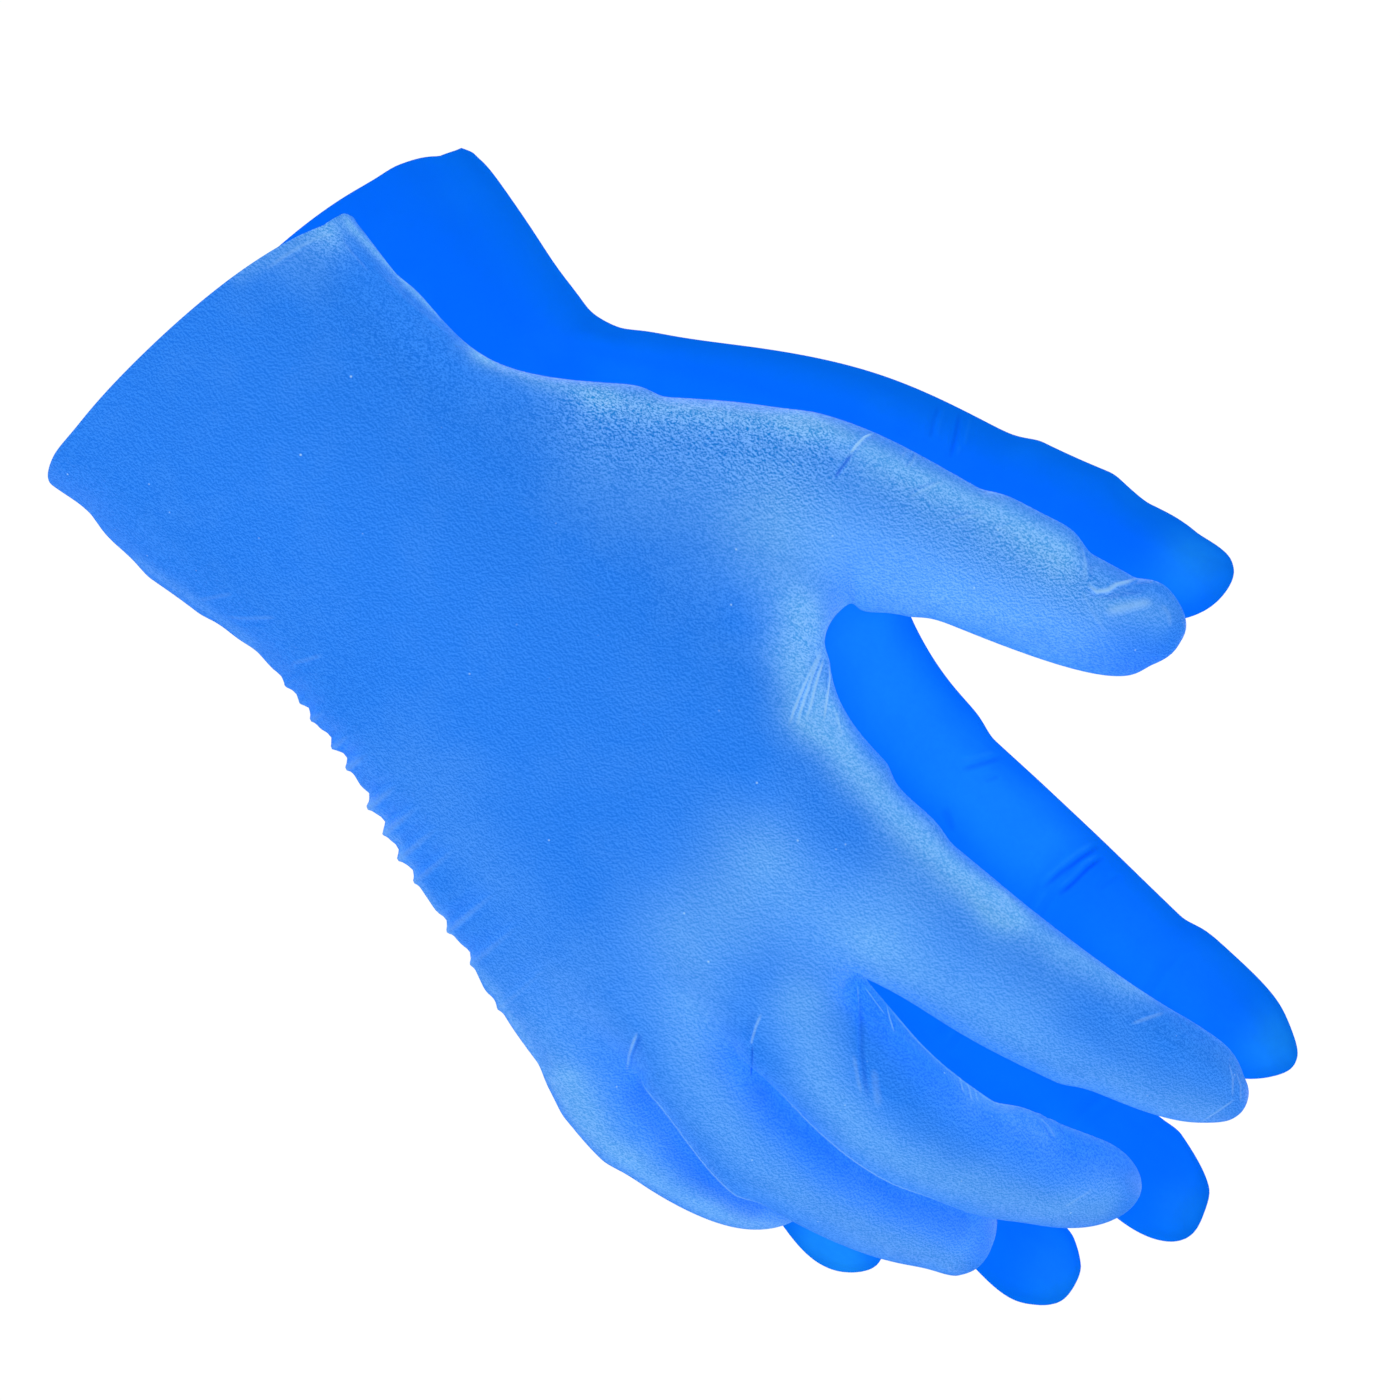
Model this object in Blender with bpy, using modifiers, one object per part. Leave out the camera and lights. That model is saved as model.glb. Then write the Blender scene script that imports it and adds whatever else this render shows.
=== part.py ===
"""A pair of disposable nitrile gloves, filled out as if worn, right and left, palms facing each other.

Each glove is one seamless dipped film: a cuff with a rolled bead, a palm, a thumb and four fingers.
Metres and degrees. X runs from the cuff to the fingertips, Z to the thumb side, and the back of the
right hand faces -Y. The left glove is built the same way and mirrored.
"""

from collections import namedtuple
from math import cos, pi, radians, sin

import bmesh
import bpy
from mathutils import Matrix, Vector

# Film and bead
FILM = 0.00015
BEAD = 0.0016
BEAD_LENGTH = 0.0016

# Tube of the cuff and hand: widths run towards the thumb, depths from the back of the hand to the palm
CUFF_WIDTH = 0.0730
CUFF_DEPTH = 0.0440
CUFF_LENGTH = 0.0400
CUFF_BOW = 0.0060
CUFF_RISE = -0.0011
SLEEVE_RISE = -0.0013
SLEEVE_WIDTH = 0.0702
WRIST_WIDTH = 0.0640
WRIST_DEPTH = 0.0410
WRIST_RISE = 0.0024
PALM_AT = 0.0748
PALM_WIDTH = 0.0686
PALM_DEPTH = 0.0360
PALM_RISE = 0.0011
CROTCH_AT = 0.1128
CROTCH_WIDTH = 0.0812
CROTCH_DEPTH = 0.0310
CROTCH_RISE = 0.0025

# Fingers: lengths between joints, and half widths and half depths from the root to the tip
Finger = namedtuple(
    "Finger",
    "x y z roll knuckle_half web proximal middle distal "
    "root_half root_depth joint_half joint_depth end_half end_depth tip_half tip_depth",
)
LITTLE = Finger(
    x=0.1205, y=0.0, z=-0.0325, roll=9.0, knuckle_half=0.0096, web=0.0198,
    proximal=0.0380, middle=0.0225, distal=0.0216,
    root_half=0.0108, root_depth=0.0098, joint_half=0.0102, joint_depth=0.0092,
    end_half=0.0090, end_depth=0.0084, tip_half=0.0080, tip_depth=0.0072,
)
RING = Finger(
    x=0.1298, y=-0.0030, z=-0.0165, roll=10.5, knuckle_half=0.0122, web=0.0240,
    proximal=0.0460, middle=0.0290, distal=0.0265,
    root_half=0.0120, root_depth=0.0108, joint_half=0.0114, joint_depth=0.0104,
    end_half=0.0093, end_depth=0.0090, tip_half=0.0084, tip_depth=0.0076,
)
MIDDLE = Finger(
    x=0.1348, y=-0.0040, z=0.0026, roll=10.0, knuckle_half=0.0128, web=0.0242,
    proximal=0.0480, middle=0.0300, distal=0.0278,
    root_half=0.0136, root_depth=0.0112, joint_half=0.0128, joint_depth=0.0110,
    end_half=0.0094, end_depth=0.0094, tip_half=0.0083, tip_depth=0.0078,
)
INDEX = Finger(
    x=0.1328, y=-0.0015, z=0.0260, roll=1.0, knuckle_half=0.0134, web=0.0240,
    proximal=0.0460, middle=0.0260, distal=0.0246,
    root_half=0.0132, root_depth=0.0110, joint_half=0.0122, joint_depth=0.0110,
    end_half=0.0098, end_depth=0.0095, tip_half=0.0093, tip_depth=0.0082,
)
FINGERS = (LITTLE, RING, MIDDLE, INDEX)
KNUCKLE_DEPTHS = (0.0125, 0.0135, 0.0140, 0.0135)
KNUCKLE_VALLEY = 0.93
WEB_VALLEY = 0.86
WEB_BACK = 0.0020
WEB_MID = 0.0010
WEB_PALM = -0.0010
WEB_GAP = 0.0030
FINGER_GAP = 0.0019
OVERLAP_SHARE = 0.65

# Thumb: where it leaves the hand, its lengths, and its half widths and half depths
THUMB_ROOT_AT = 0.0588
THUMB_ROOT_PALMWARD = 0.0085
THUMB_ROOT_INSET = 0.0084
THUMB_METACARPAL = 0.0475
THUMB_PROXIMAL = 0.0385
THUMB_DISTAL = 0.0332
THUMB_BASE_AT = 0.0395
THUMB_BASE_HALF = 0.0172
THUMB_BASE_DEPTH = 0.0140
THUMB_BASE_SLANT = 0.0155
THUMB_KNUCKLE_AT = 0.0060
THUMB_KNUCKLE_HALF = 0.0145
THUMB_WEB_HALF = 0.0210
THUMB_KNUCKLE_DEPTH = 0.0130
THUMB_KNUCKLE_SLANT = 0.0050
THUMB_SHAFT_AT = 0.55
THUMB_SHAFT_HALF = 0.0128
THUMB_SHAFT_DEPTH = 0.0116
THUMB_JOINT_HALF = 0.0114
THUMB_PAD_HALF = 0.0126
THUMB_JOINT_DEPTH = 0.0110
THUMB_TIP_HALF = 0.0108
THUMB_TIP_DEPTH = 0.0088

# Poses: how far each finger spreads to the thumb side, how far its three joints bend, how far its root is
# shifted to the thumb side, and how much further out its web lies where the film is loose
Bend = namedtuple("Bend", "spread knuckle middle end shift web", defaults=(0.0, 0.0))
ThumbBend = namedtuple("ThumbBend", "outward palmward knuckle end")
RIGHT_FINGERS = (
    Bend(spread=-19.9, knuckle=24.5, middle=23.0, end=19.0),
    Bend(spread=-12.9, knuckle=18.0, middle=27.5, end=20.0),
    Bend(spread=-5.4, knuckle=15.0, middle=28.0, end=19.0, shift=-0.0015),
    Bend(spread=7.4, knuckle=10.0, middle=18.0, end=19.0),
)
RIGHT_THUMB = ThumbBend(outward=44.0, palmward=26.0, knuckle=25.0, end=-2.0)
LEFT_FINGERS = (
    Bend(spread=-7.5, knuckle=5.2, middle=7.3, end=3.8, web=0.0020),
    Bend(spread=-0.3, knuckle=5.7, middle=7.4, end=3.4, shift=-0.0012, web=0.0060),
    Bend(spread=6.6, knuckle=8.0, middle=10.0, end=5.0, shift=-0.0028, web=0.0080),
    Bend(spread=15.5, knuckle=16.0, middle=-4.0, end=-2.0, shift=-0.0016),
)
LEFT_THUMB = ThumbBend(outward=46.6, palmward=4.0, knuckle=17.5, end=-4.0)

# Place of the left glove beside the right one
PAIR_CLEARANCE = 0.0050
LEFT_FORWARD = -0.0056
LEFT_RAISED = -0.0150
LEFT_YAW = -1.5
LEFT_PITCH = -0.8
LEFT_WRIST_PINCH = 0.0042
LEFT_CUFF_SWELL = 0.6

# Colours of the two films
RIGHT_BLUE = (0.026, 0.220, 0.888, 1.0)
LEFT_BLUE = (0.002, 0.144, 0.939, 1.0)

# Smoothing draws an eight-point ring in, so the ring is made larger by this factor
SWELL_EIGHT = 1 / (2 / 3 + cos(pi / 4) / 3)
SWELL_TWENTY = 1 / (2 / 3 + cos(pi / 10) / 3)
# The last ring stands at this share of the end bone, and the cap's point is set out to land on the tip
TIP_RING = 0.79
TIP_POINT = 2.25 - 1.25 * TIP_RING

Section = namedtuple("Section", "x z width back palm fullness thenar bow")
SECTIONS = (
    Section(0.0, CUFF_RISE, CUFF_WIDTH, CUFF_DEPTH / 2, CUFF_DEPTH / 2, 2.3, 18, CUFF_BOW),
    Section(BEAD_LENGTH, CUFF_RISE, CUFF_WIDTH, CUFF_DEPTH / 2, CUFF_DEPTH / 2, 2.3, 18, CUFF_BOW),
    Section(2 * BEAD_LENGTH, CUFF_RISE, CUFF_WIDTH, CUFF_DEPTH / 2, CUFF_DEPTH / 2, 2.3, 18, CUFF_BOW),
    Section(CUFF_LENGTH / 2, SLEEVE_RISE, SLEEVE_WIDTH, CUFF_DEPTH / 2, CUFF_DEPTH / 2, 2.3, 18, CUFF_BOW / 2),
    Section(CUFF_LENGTH, WRIST_RISE, WRIST_WIDTH, WRIST_DEPTH * 0.49, WRIST_DEPTH * 0.51, 2.3, 24, 0.0),
    Section(PALM_AT, PALM_RISE, PALM_WIDTH, PALM_DEPTH * 0.44, PALM_DEPTH * 0.56, 2.4, 40, 0.0),
    Section(CROTCH_AT, CROTCH_RISE, CROTCH_WIDTH, CROTCH_DEPTH * 0.45, CROTCH_DEPTH * 0.55, 2.5, 26, 0.0),
)
BEAD_RINGS = 2
THUMB_RING = 4
THUMB_ROOT = Vector((THUMB_ROOT_AT, THUMB_ROOT_PALMWARD, PALM_RISE + PALM_WIDTH / 2 - THUMB_ROOT_INSET))


def power(value, exponent):
    return abs(value) ** exponent * (1 if value > 0 else -1)


def section_ring(section, pinch=0.0, swell=0.0):
    """Twenty points round the hand: nine over the back, the thumb edge, nine over the palm, the outer edge.

    The thumb edge is drawn in by pinch, and a bowed ring is bowed further by the share swell.
    """
    angles = [radians(162 - 18 * step) for step in range(9)] + [0.0]
    angles += [-radians(section.thenar + (162 - section.thenar) * step / 8) for step in range(9)] + [pi]
    points = []
    for angle in angles:
        depth = section.back if sin(angle) > 0 else section.palm
        z = power(cos(angle), 2 / section.fullness) * section.width / 2 * SWELL_TWENTY
        z -= pinch * max(cos(angle), 0.0)
        y = -power(sin(angle), 2 / section.fullness) * depth * SWELL_TWENTY
        x = section.x + section.bow * (0.5 - (1 + swell) * abs(sin(angle)))
        points.append(Vector((x, y, section.z + z)))
    return points


def ring_of_eight(centre, across, back, half, depth, along=Vector(), slant=0.0, far_half=None):
    """Eight points round a finger, from its outer back corner over the back, thumb side and palm side."""
    points = []
    for step in range(8):
        angle = radians(135 - 45 * step)
        side = half if far_half is None or cos(angle) < 0 else far_half
        point = centre + across * side * SWELL_EIGHT * cos(angle) + back * depth * SWELL_EIGHT * sin(angle)
        points.append(point + along * slant * cos(angle))
    return points


def turned(vector, axis, degrees):
    return Matrix.Rotation(radians(degrees), 3, axis) @ vector


def finger_frames(finger, bend):
    """(centre, along, across, back) at the knuckle, web, shaft, middle joint, end joint, last ring and cap."""
    along, across, back = Vector((1, 0, 0)), Vector((0, 0, 1)), Vector((0, -1, 0))
    along, across = turned(along, back, bend.spread), turned(across, back, bend.spread)
    across, back = turned(across, along, finger.roll), turned(back, along, finger.roll)

    def bent(degrees):
        return turned(along, across, degrees), turned(back, across, degrees)

    frames = []
    centre = Vector((finger.x, finger.y, finger.z + bend.shift))
    halfway, half_back = bent(bend.knuckle / 2)
    frames.append((centre, halfway, across, half_back))
    along, back = bent(bend.knuckle)
    web = finger.web + bend.web
    frames.append((centre + along * web, along, across, back))
    shaft = web + (finger.proximal - web) * 0.45
    frames.append((centre + along * shaft, along, across, back))
    centre = centre + along * finger.proximal
    halfway, half_back = bent(bend.middle / 2)
    frames.append((centre, halfway, across, half_back))
    along, back = bent(bend.middle)
    centre = centre + along * finger.middle
    halfway, half_back = bent(bend.end / 2)
    frames.append((centre, halfway, across, half_back))
    along, back = bent(bend.end)
    frames.append((centre + along * finger.distal * TIP_RING, along, across, back))
    frames.append((centre + along * finger.distal * TIP_POINT, along, across, back))
    return frames


def knuckle_ring(frames, sizes):
    """The ring over all four knuckles; neighbouring fingers share their corner points."""
    rings = [ring_of_eight(f[0][0], f[0][2], f[0][3], *size) for f, size in zip(frames, sizes)]
    back, palm = rings[0][0:2], [rings[0][6], rings[0][5]]
    for ring, other in zip(rings, rings[1:]):
        middle = (ring[3] + other[7]) / 2
        back.append(middle + ((ring[2] + other[0]) / 2 - middle) * KNUCKLE_VALLEY)
        palm.append(middle + ((ring[4] + other[6]) / 2 - middle) * KNUCKLE_VALLEY)
        back.append(other[1])
        palm.append(other[5])
    back.append(rings[-1][2])
    palm.append(rings[-1][4])
    return back + [rings[-1][3]] + palm[::-1] + [rings[0][7]]


def finger_roots(frames, sizes):
    """One ring round each finger's root; facing sides come together over a web WEB_GAP wide."""
    rings = [ring_of_eight(f[1][0], f[1][2], f[1][3], *size) for f, size in zip(frames, sizes)]
    for number, (ring, other) in enumerate(zip(rings, rings[1:])):
        along = (frames[number][1][1] + frames[number + 1][1][1]) / 2
        apart = (frames[number][1][2] + frames[number + 1][1][2]).normalized() * WEB_GAP / 2
        middle = (ring[3] + other[7]) / 2
        back = middle + ((ring[2] + other[0]) / 2 - middle) * WEB_VALLEY - along * WEB_BACK
        palm = middle + ((ring[4] + other[6]) / 2 - middle) * WEB_VALLEY - along * WEB_PALM
        middle = middle - along * WEB_MID
        ring[2:5] = back - apart, middle - apart, palm - apart
        other[0], other[7], other[6] = back + apart, middle + apart, palm + apart
    return rings


def finger_rings(frames, at, sizes):
    """One ring round each finger, its sides drawn in where neighbours would stand nearer than FINGER_GAP.

    The outer finger of two gives way by OVERLAP_SHARE of what is missing, the other by the rest.
    """
    outer = [half for half, depth in sizes]
    inner = list(outer)
    for number, (near, far) in enumerate(zip(frames, frames[1:])):
        across = (near[at][2] + far[at][2]).normalized()
        room = (far[at][0] - near[at][0]).dot(across)
        excess = inner[number] + outer[number + 1] + FINGER_GAP - room
        if excess > 0:
            inner[number] -= excess * OVERLAP_SHARE
            outer[number + 1] -= excess * (1 - OVERLAP_SHARE)
    rings = []
    for frame, size, half, far_half in zip(frames, sizes, outer, inner):
        centre, along, across, back = frame[at]
        rings.append(ring_of_eight(centre, across, back, half, size[1], far_half=far_half))
    return rings


def thumb_rings(bend):
    """The five rings along the thumb and the point of its cap."""
    outward, palmward = radians(bend.outward), radians(bend.palmward)
    along = Vector((cos(outward) * cos(palmward), sin(palmward), sin(outward) * cos(palmward)))
    across = Vector((sin(outward), 0, -cos(outward)))
    across = (across - along * across.dot(along)).normalized()
    back = across.cross(along)

    def bent(degrees):
        return turned(along, back, -degrees), turned(across, back, -degrees)

    rings = [
        ring_of_eight(
            THUMB_ROOT + along * THUMB_BASE_AT, across, back, THUMB_BASE_HALF, THUMB_BASE_DEPTH,
            along, THUMB_BASE_SLANT,
        )
    ]
    centre = THUMB_ROOT + along * THUMB_METACARPAL
    part_way, part_across = bent(bend.knuckle * 0.35)
    rings.append(
        ring_of_eight(
            centre + part_way * THUMB_KNUCKLE_AT, part_across, back, THUMB_KNUCKLE_HALF, THUMB_KNUCKLE_DEPTH,
            part_way, THUMB_KNUCKLE_SLANT, THUMB_WEB_HALF,
        )
    )
    along, across = bent(bend.knuckle)
    shaft = centre + along * THUMB_PROXIMAL * THUMB_SHAFT_AT
    rings.append(ring_of_eight(shaft, across, back, THUMB_SHAFT_HALF, THUMB_SHAFT_DEPTH))
    centre = centre + along * THUMB_PROXIMAL
    half_across = bent(bend.end / 2)[1]
    rings.append(
        ring_of_eight(
            centre, half_across, back, THUMB_JOINT_HALF, THUMB_JOINT_DEPTH, far_half=THUMB_PAD_HALF
        )
    )
    along, across = bent(bend.end)
    last = centre + along * THUMB_DISTAL * TIP_RING
    rings.append(ring_of_eight(last, across, back, THUMB_TIP_HALF, THUMB_TIP_DEPTH))
    return rings, centre + along * THUMB_DISTAL * TIP_POINT


def bridge(cage, near, far, leave_out=()):
    """One band of faces from ring to ring."""
    count = len(near)
    for step in range(count):
        if step not in leave_out:
            after = (step + 1) % count
            cage.faces.new((near[step], near[after], far[after], far[step]))


def tube(cage, root, rings, tip):
    """A finger: bands from its root over its rings, closed by four faces at the tip."""
    last = root
    for ring in rings:
        points = [cage.verts.new(point) for point in ring]
        bridge(cage, last, points)
        last = points
    cap = cage.verts.new(tip)
    for step in (1, 3, 5, 7):
        cage.faces.new((last[step], last[(step + 1) % 8], last[(step + 2) % 8], cap))


def glove_cage(finger_bends, thumb_bend, wrist_pinch=0.0, cuff_swell=0.0):
    """The coarse cage of one glove, open at the cuff, and the number of points in its bead rings."""
    cage = bmesh.new()
    frames = [finger_frames(finger, bend) for finger, bend in zip(FINGERS, finger_bends)]
    rings = [section_ring(section, swell=cuff_swell) for section in SECTIONS]
    rings[THUMB_RING] = section_ring(SECTIONS[THUMB_RING], wrist_pinch)
    rings.append(knuckle_ring(frames, [(f.knuckle_half, depth) for f, depth in zip(FINGERS, KNUCKLE_DEPTHS)]))
    loops = [[cage.verts.new(point) for point in ring] for ring in rings]
    for number, (near, far) in enumerate(zip(loops, loops[1:])):
        bridge(cage, near, far, (8, 9) if number in (THUMB_RING, THUMB_RING + 1) else ())

    # From the knuckles to the finger roots, with a web between each two fingers
    hand = loops[-1]
    roots = finger_roots(frames, [(finger.root_half, finger.root_depth) for finger in FINGERS])
    roots = [[cage.verts.new(point) for point in ring] for ring in roots]
    for number, root in enumerate(roots):
        back = 2 * number
        palm = 18 - back
        cage.faces.new((hand[back], hand[back + 1], root[1], root[0]))
        cage.faces.new((hand[back + 1], hand[back + 2], root[2], root[1]))
        cage.faces.new((hand[palm - 2], hand[palm - 1], root[5], root[4]))
        cage.faces.new((hand[palm - 1], hand[palm], root[6], root[5]))
    for number, (root, other) in enumerate(zip(roots, roots[1:])):
        cage.faces.new((hand[2 * number + 2], other[0], root[2]))
        cage.faces.new((root[2], other[0], other[7], root[3]))
        cage.faces.new((root[3], other[7], other[6], root[4]))
        cage.faces.new((hand[16 - 2 * number], root[4], other[6]))
    cage.faces.new((hand[8], hand[9], roots[3][3], roots[3][2]))
    cage.faces.new((hand[9], hand[10], roots[3][4], roots[3][3]))
    cage.faces.new((hand[18], hand[19], roots[0][7], roots[0][6]))
    cage.faces.new((hand[19], hand[0], roots[0][0], roots[0][7]))

    # Fingers
    shafts = [((f.root_half + f.joint_half) / 2, (f.root_depth + f.joint_depth) / 2) for f in FINGERS]
    joints = [(finger.joint_half, finger.joint_depth) for finger in FINGERS]
    ends = [(finger.end_half, finger.end_depth) for finger in FINGERS]
    tips = [(finger.tip_half, finger.tip_depth) for finger in FINGERS]
    stages = [finger_rings(frames, at, sizes) for at, sizes in enumerate((shafts, joints, ends, tips), 2)]
    for number, frame in enumerate(frames):
        tube(cage, roots[number], [stage[number] for stage in stages], frame[6][0])

    # Thumb, from a hole of eight points in the hand's thumb edge
    start, middle, end = loops[THUMB_RING:THUMB_RING + 3]
    hole = [start[9], start[10], middle[10], end[10], end[9], end[8], middle[8], start[8]]
    along, tip = thumb_rings(thumb_bend)
    tube(cage, hole, [ring[::-1] for ring in along], tip)
    cage.verts.remove(middle[9])
    cage.verts.index_update()
    return cage, BEAD_RINGS * len(loops[0])


def glove(name, cage, bead_points, material, collection):
    """One glove: the cage made a film, thick in its bead, and smoothed."""
    mesh = bpy.data.meshes.new(name)
    cage.to_mesh(mesh)
    cage.free()
    mesh.materials.append(material)
    mesh.polygons.foreach_set("use_smooth", [True] * len(mesh.polygons))
    made = bpy.data.objects.new(name, mesh)
    collection.objects.link(made)
    made.vertex_groups.new(name="bead").add(range(bead_points), 1.0, "REPLACE")
    film = made.modifiers.new("film", "SOLIDIFY")
    film.thickness = BEAD
    film.offset = 0.0
    film.vertex_group = "bead"
    film.thickness_vertex_group = FILM / BEAD
    smooth = made.modifiers.new("smooth", "SUBSURF")
    smooth.levels = 1
    smooth.render_levels = 1
    return made


def nitrile(name, colour, roughness):
    material = bpy.data.materials.new(name)
    material.use_nodes = True
    shader = material.node_tree.nodes["Principled BSDF"]
    shader.inputs["Base Color"].default_value = colour
    shader.inputs["Roughness"].default_value = roughness
    return material


def box_of(made):
    """The lowest and highest corner of the finished shape, in its own frame."""
    corners = [Vector(corner) for corner in made.evaluated_get(bpy.context.evaluated_depsgraph_get()).bound_box]
    low = Vector(min(corner[axis] for corner in corners) for axis in range(3))
    high = Vector(max(corner[axis] for corner in corners) for axis in range(3))
    return low, high


# Clear the scene and make the pair
for leftover in list(bpy.data.objects):
    bpy.data.objects.remove(leftover)
pair = bpy.data.collections.new("nitrile_glove_pair")
bpy.context.scene.collection.children.link(pair)

cage, bead_points = glove_cage(RIGHT_FINGERS, RIGHT_THUMB)
right = glove("right_glove", cage, bead_points, nitrile("grained_nitrile", RIGHT_BLUE, 0.5), pair)

cage, bead_points = glove_cage(LEFT_FINGERS, LEFT_THUMB, LEFT_WRIST_PINCH, LEFT_CUFF_SWELL)
cage.transform(Matrix.Scale(-1, 4, Vector((0, 1, 0))))
bmesh.ops.reverse_faces(cage, faces=cage.faces)
left = glove("left_glove", cage, bead_points, nitrile("smooth_nitrile", LEFT_BLUE, 0.4), pair)

# The left glove stands clear of the furthest fingertip of the right one
left.rotation_euler = (0.0, radians(-LEFT_PITCH), radians(LEFT_YAW))
bpy.context.view_layer.update()
turn = left.matrix_world.to_3x3()
shape = left.evaluated_get(bpy.context.evaluated_depsgraph_get()).to_mesh()
left_reach = min((turn @ vertex.co).y for vertex in shape.vertices)
right_reach = box_of(right)[1].y
left.location = (LEFT_FORWARD, right_reach - left_reach + PAIR_CLEARANCE, LEFT_RAISED)
bpy.context.view_layer.update()
print(f"left glove stands {left.location.y * 1000:.1f} mm from the right one")
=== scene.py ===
# %% [markdown]
# # A pair of disposable nitrile gloves
# Two thin blue gloves stand filled out, as if worn: a right one with its back to us and a left one
# behind it with its palm to us. A glove like this is dipped on a hand-shaped former, so each is one
# seamless film with a bead rolled at the cuff. The imported model gives the exact places. It is loaded
# first, and its parts are kept, so that the left glove can be placed by its own box.

from collections import namedtuple
from math import cos, pi, radians, sin

import bmesh
import bpy
import numpy as np
from mathutils import Matrix, Vector
from mathutils.bvhtree import BVHTree
from mathutils.kdtree import KDTree


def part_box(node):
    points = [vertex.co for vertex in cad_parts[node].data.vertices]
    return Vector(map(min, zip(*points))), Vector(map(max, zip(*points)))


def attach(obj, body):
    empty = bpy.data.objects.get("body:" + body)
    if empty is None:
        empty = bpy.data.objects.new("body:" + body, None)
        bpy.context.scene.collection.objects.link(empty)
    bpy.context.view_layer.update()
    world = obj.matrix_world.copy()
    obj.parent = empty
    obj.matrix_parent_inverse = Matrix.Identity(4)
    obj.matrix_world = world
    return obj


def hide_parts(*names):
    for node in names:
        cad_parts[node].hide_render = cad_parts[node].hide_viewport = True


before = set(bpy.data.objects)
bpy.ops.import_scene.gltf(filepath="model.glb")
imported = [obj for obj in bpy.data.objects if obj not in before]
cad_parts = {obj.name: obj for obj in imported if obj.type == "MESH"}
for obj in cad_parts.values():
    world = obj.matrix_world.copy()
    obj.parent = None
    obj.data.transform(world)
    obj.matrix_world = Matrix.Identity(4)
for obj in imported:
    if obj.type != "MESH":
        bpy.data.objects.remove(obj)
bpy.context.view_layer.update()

# %% [markdown]
# ## The camera
# The gloves were photographed from far away with a long lens, so lines stay nearly parallel, and the
# camera was turned so that the hands point down to the right. The camera is built from its own three
# axes: where it stands (azimuth and elevation), how it is rolled, and how many metres one pixel of
# the square picture covers. Writing the axes into a matrix is easier here than three Euler angles.

# %% The camera
PICTURE = 1400
SENSOR = 36.0
AZIMUTH, ELEVATION, ROLL = radians(4.0), radians(22.0), radians(47.0)
DISTANCE = 2.2
METRES_PER_PIXEL = 0.000174
ORIGIN_AT = (204.5, 339.1)

towards_eye = Vector((sin(AZIMUTH) * cos(ELEVATION), -cos(AZIMUTH) * cos(ELEVATION), sin(ELEVATION)))
level = Vector((cos(AZIMUTH), sin(AZIMUTH), 0))
upright = towards_eye.cross(level)
picture_right = level * cos(ROLL) + upright * sin(ROLL)
picture_up = upright * cos(ROLL) - level * sin(ROLL)
middle = picture_right * (PICTURE / 2 - ORIGIN_AT[0]) - picture_up * (PICTURE / 2 - ORIGIN_AT[1])
eye = middle * METRES_PER_PIXEL + towards_eye * DISTANCE
focal_pixels = DISTANCE / METRES_PER_PIXEL

lens = bpy.data.cameras.new("long_lens")
lens.sensor_width = SENSOR
lens.lens = focal_pixels / PICTURE * SENSOR
lens.clip_end = 50.0
camera = bpy.data.objects.new("long_lens", lens)
bpy.context.scene.collection.objects.link(camera)
axes = Matrix((picture_right, picture_up, towards_eye)).transposed()
camera.matrix_world = Matrix.Translation(eye) @ axes.to_4x4()
bpy.context.scene.camera = camera
print(f"lens {lens.lens:.0f} mm at {eye.length:.2f} m")

# %% [markdown]
# ## Sizes of the glove
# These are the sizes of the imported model, in metres: rings round the cuff and hand, then four fingers
# and a thumb, each as lengths between joints with half widths and half depths. The same few numbers
# with two sets of bends give both gloves, as one former shape gives both hands' gloves on a real line.

# %% Cuff and hand sizes
FILM = 0.00015
BEAD = 0.0016
CUFF_WIDTH, CUFF_DEPTH, CUFF_LENGTH, CUFF_BOW, CUFF_RISE = 0.0730, 0.0440, 0.0400, 0.0060, -0.0011
SLEEVE_WIDTH, SLEEVE_RISE = 0.0702, -0.0013
WRIST_WIDTH, WRIST_DEPTH, WRIST_RISE = 0.0640, 0.0410, 0.0024
PALM_AT, PALM_WIDTH, PALM_DEPTH, PALM_RISE = 0.0748, 0.0686, 0.0360, 0.0011
CROTCH_AT, CROTCH_WIDTH, CROTCH_DEPTH, CROTCH_RISE = 0.1128, 0.0812, 0.0310, 0.0025

Section = namedtuple("Section", "x z width back palm fullness thenar bow")
half_cuff = CUFF_DEPTH / 2
SECTIONS = (
    Section(0.0, CUFF_RISE, CUFF_WIDTH, half_cuff, half_cuff, 2.3, 18, CUFF_BOW),
    Section(BEAD, CUFF_RISE, CUFF_WIDTH, half_cuff, half_cuff, 2.3, 18, CUFF_BOW),
    Section(2 * BEAD, CUFF_RISE, CUFF_WIDTH, half_cuff, half_cuff, 2.3, 18, CUFF_BOW),
    Section(CUFF_LENGTH / 2, SLEEVE_RISE, SLEEVE_WIDTH, half_cuff, half_cuff, 2.3, 18, CUFF_BOW / 2),
    Section(CUFF_LENGTH, WRIST_RISE, WRIST_WIDTH, WRIST_DEPTH * 0.49, WRIST_DEPTH * 0.51, 2.3, 24, 0.0),
    Section(PALM_AT, PALM_RISE, PALM_WIDTH, PALM_DEPTH * 0.44, PALM_DEPTH * 0.56, 2.4, 40, 0.0),
    Section(CROTCH_AT, CROTCH_RISE, CROTCH_WIDTH, CROTCH_DEPTH * 0.45, CROTCH_DEPTH * 0.55, 2.5, 26, 0.0),
)
THUMB_RING = 4
LEFT_WRIST_PINCH, LEFT_CUFF_SWELL = 0.0042, 0.6
print(f"palm {PALM_WIDTH * 1000:.0f} mm wide, film {FILM * 1000:.2f} mm, bead {BEAD * 1000:.1f} mm")

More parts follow.
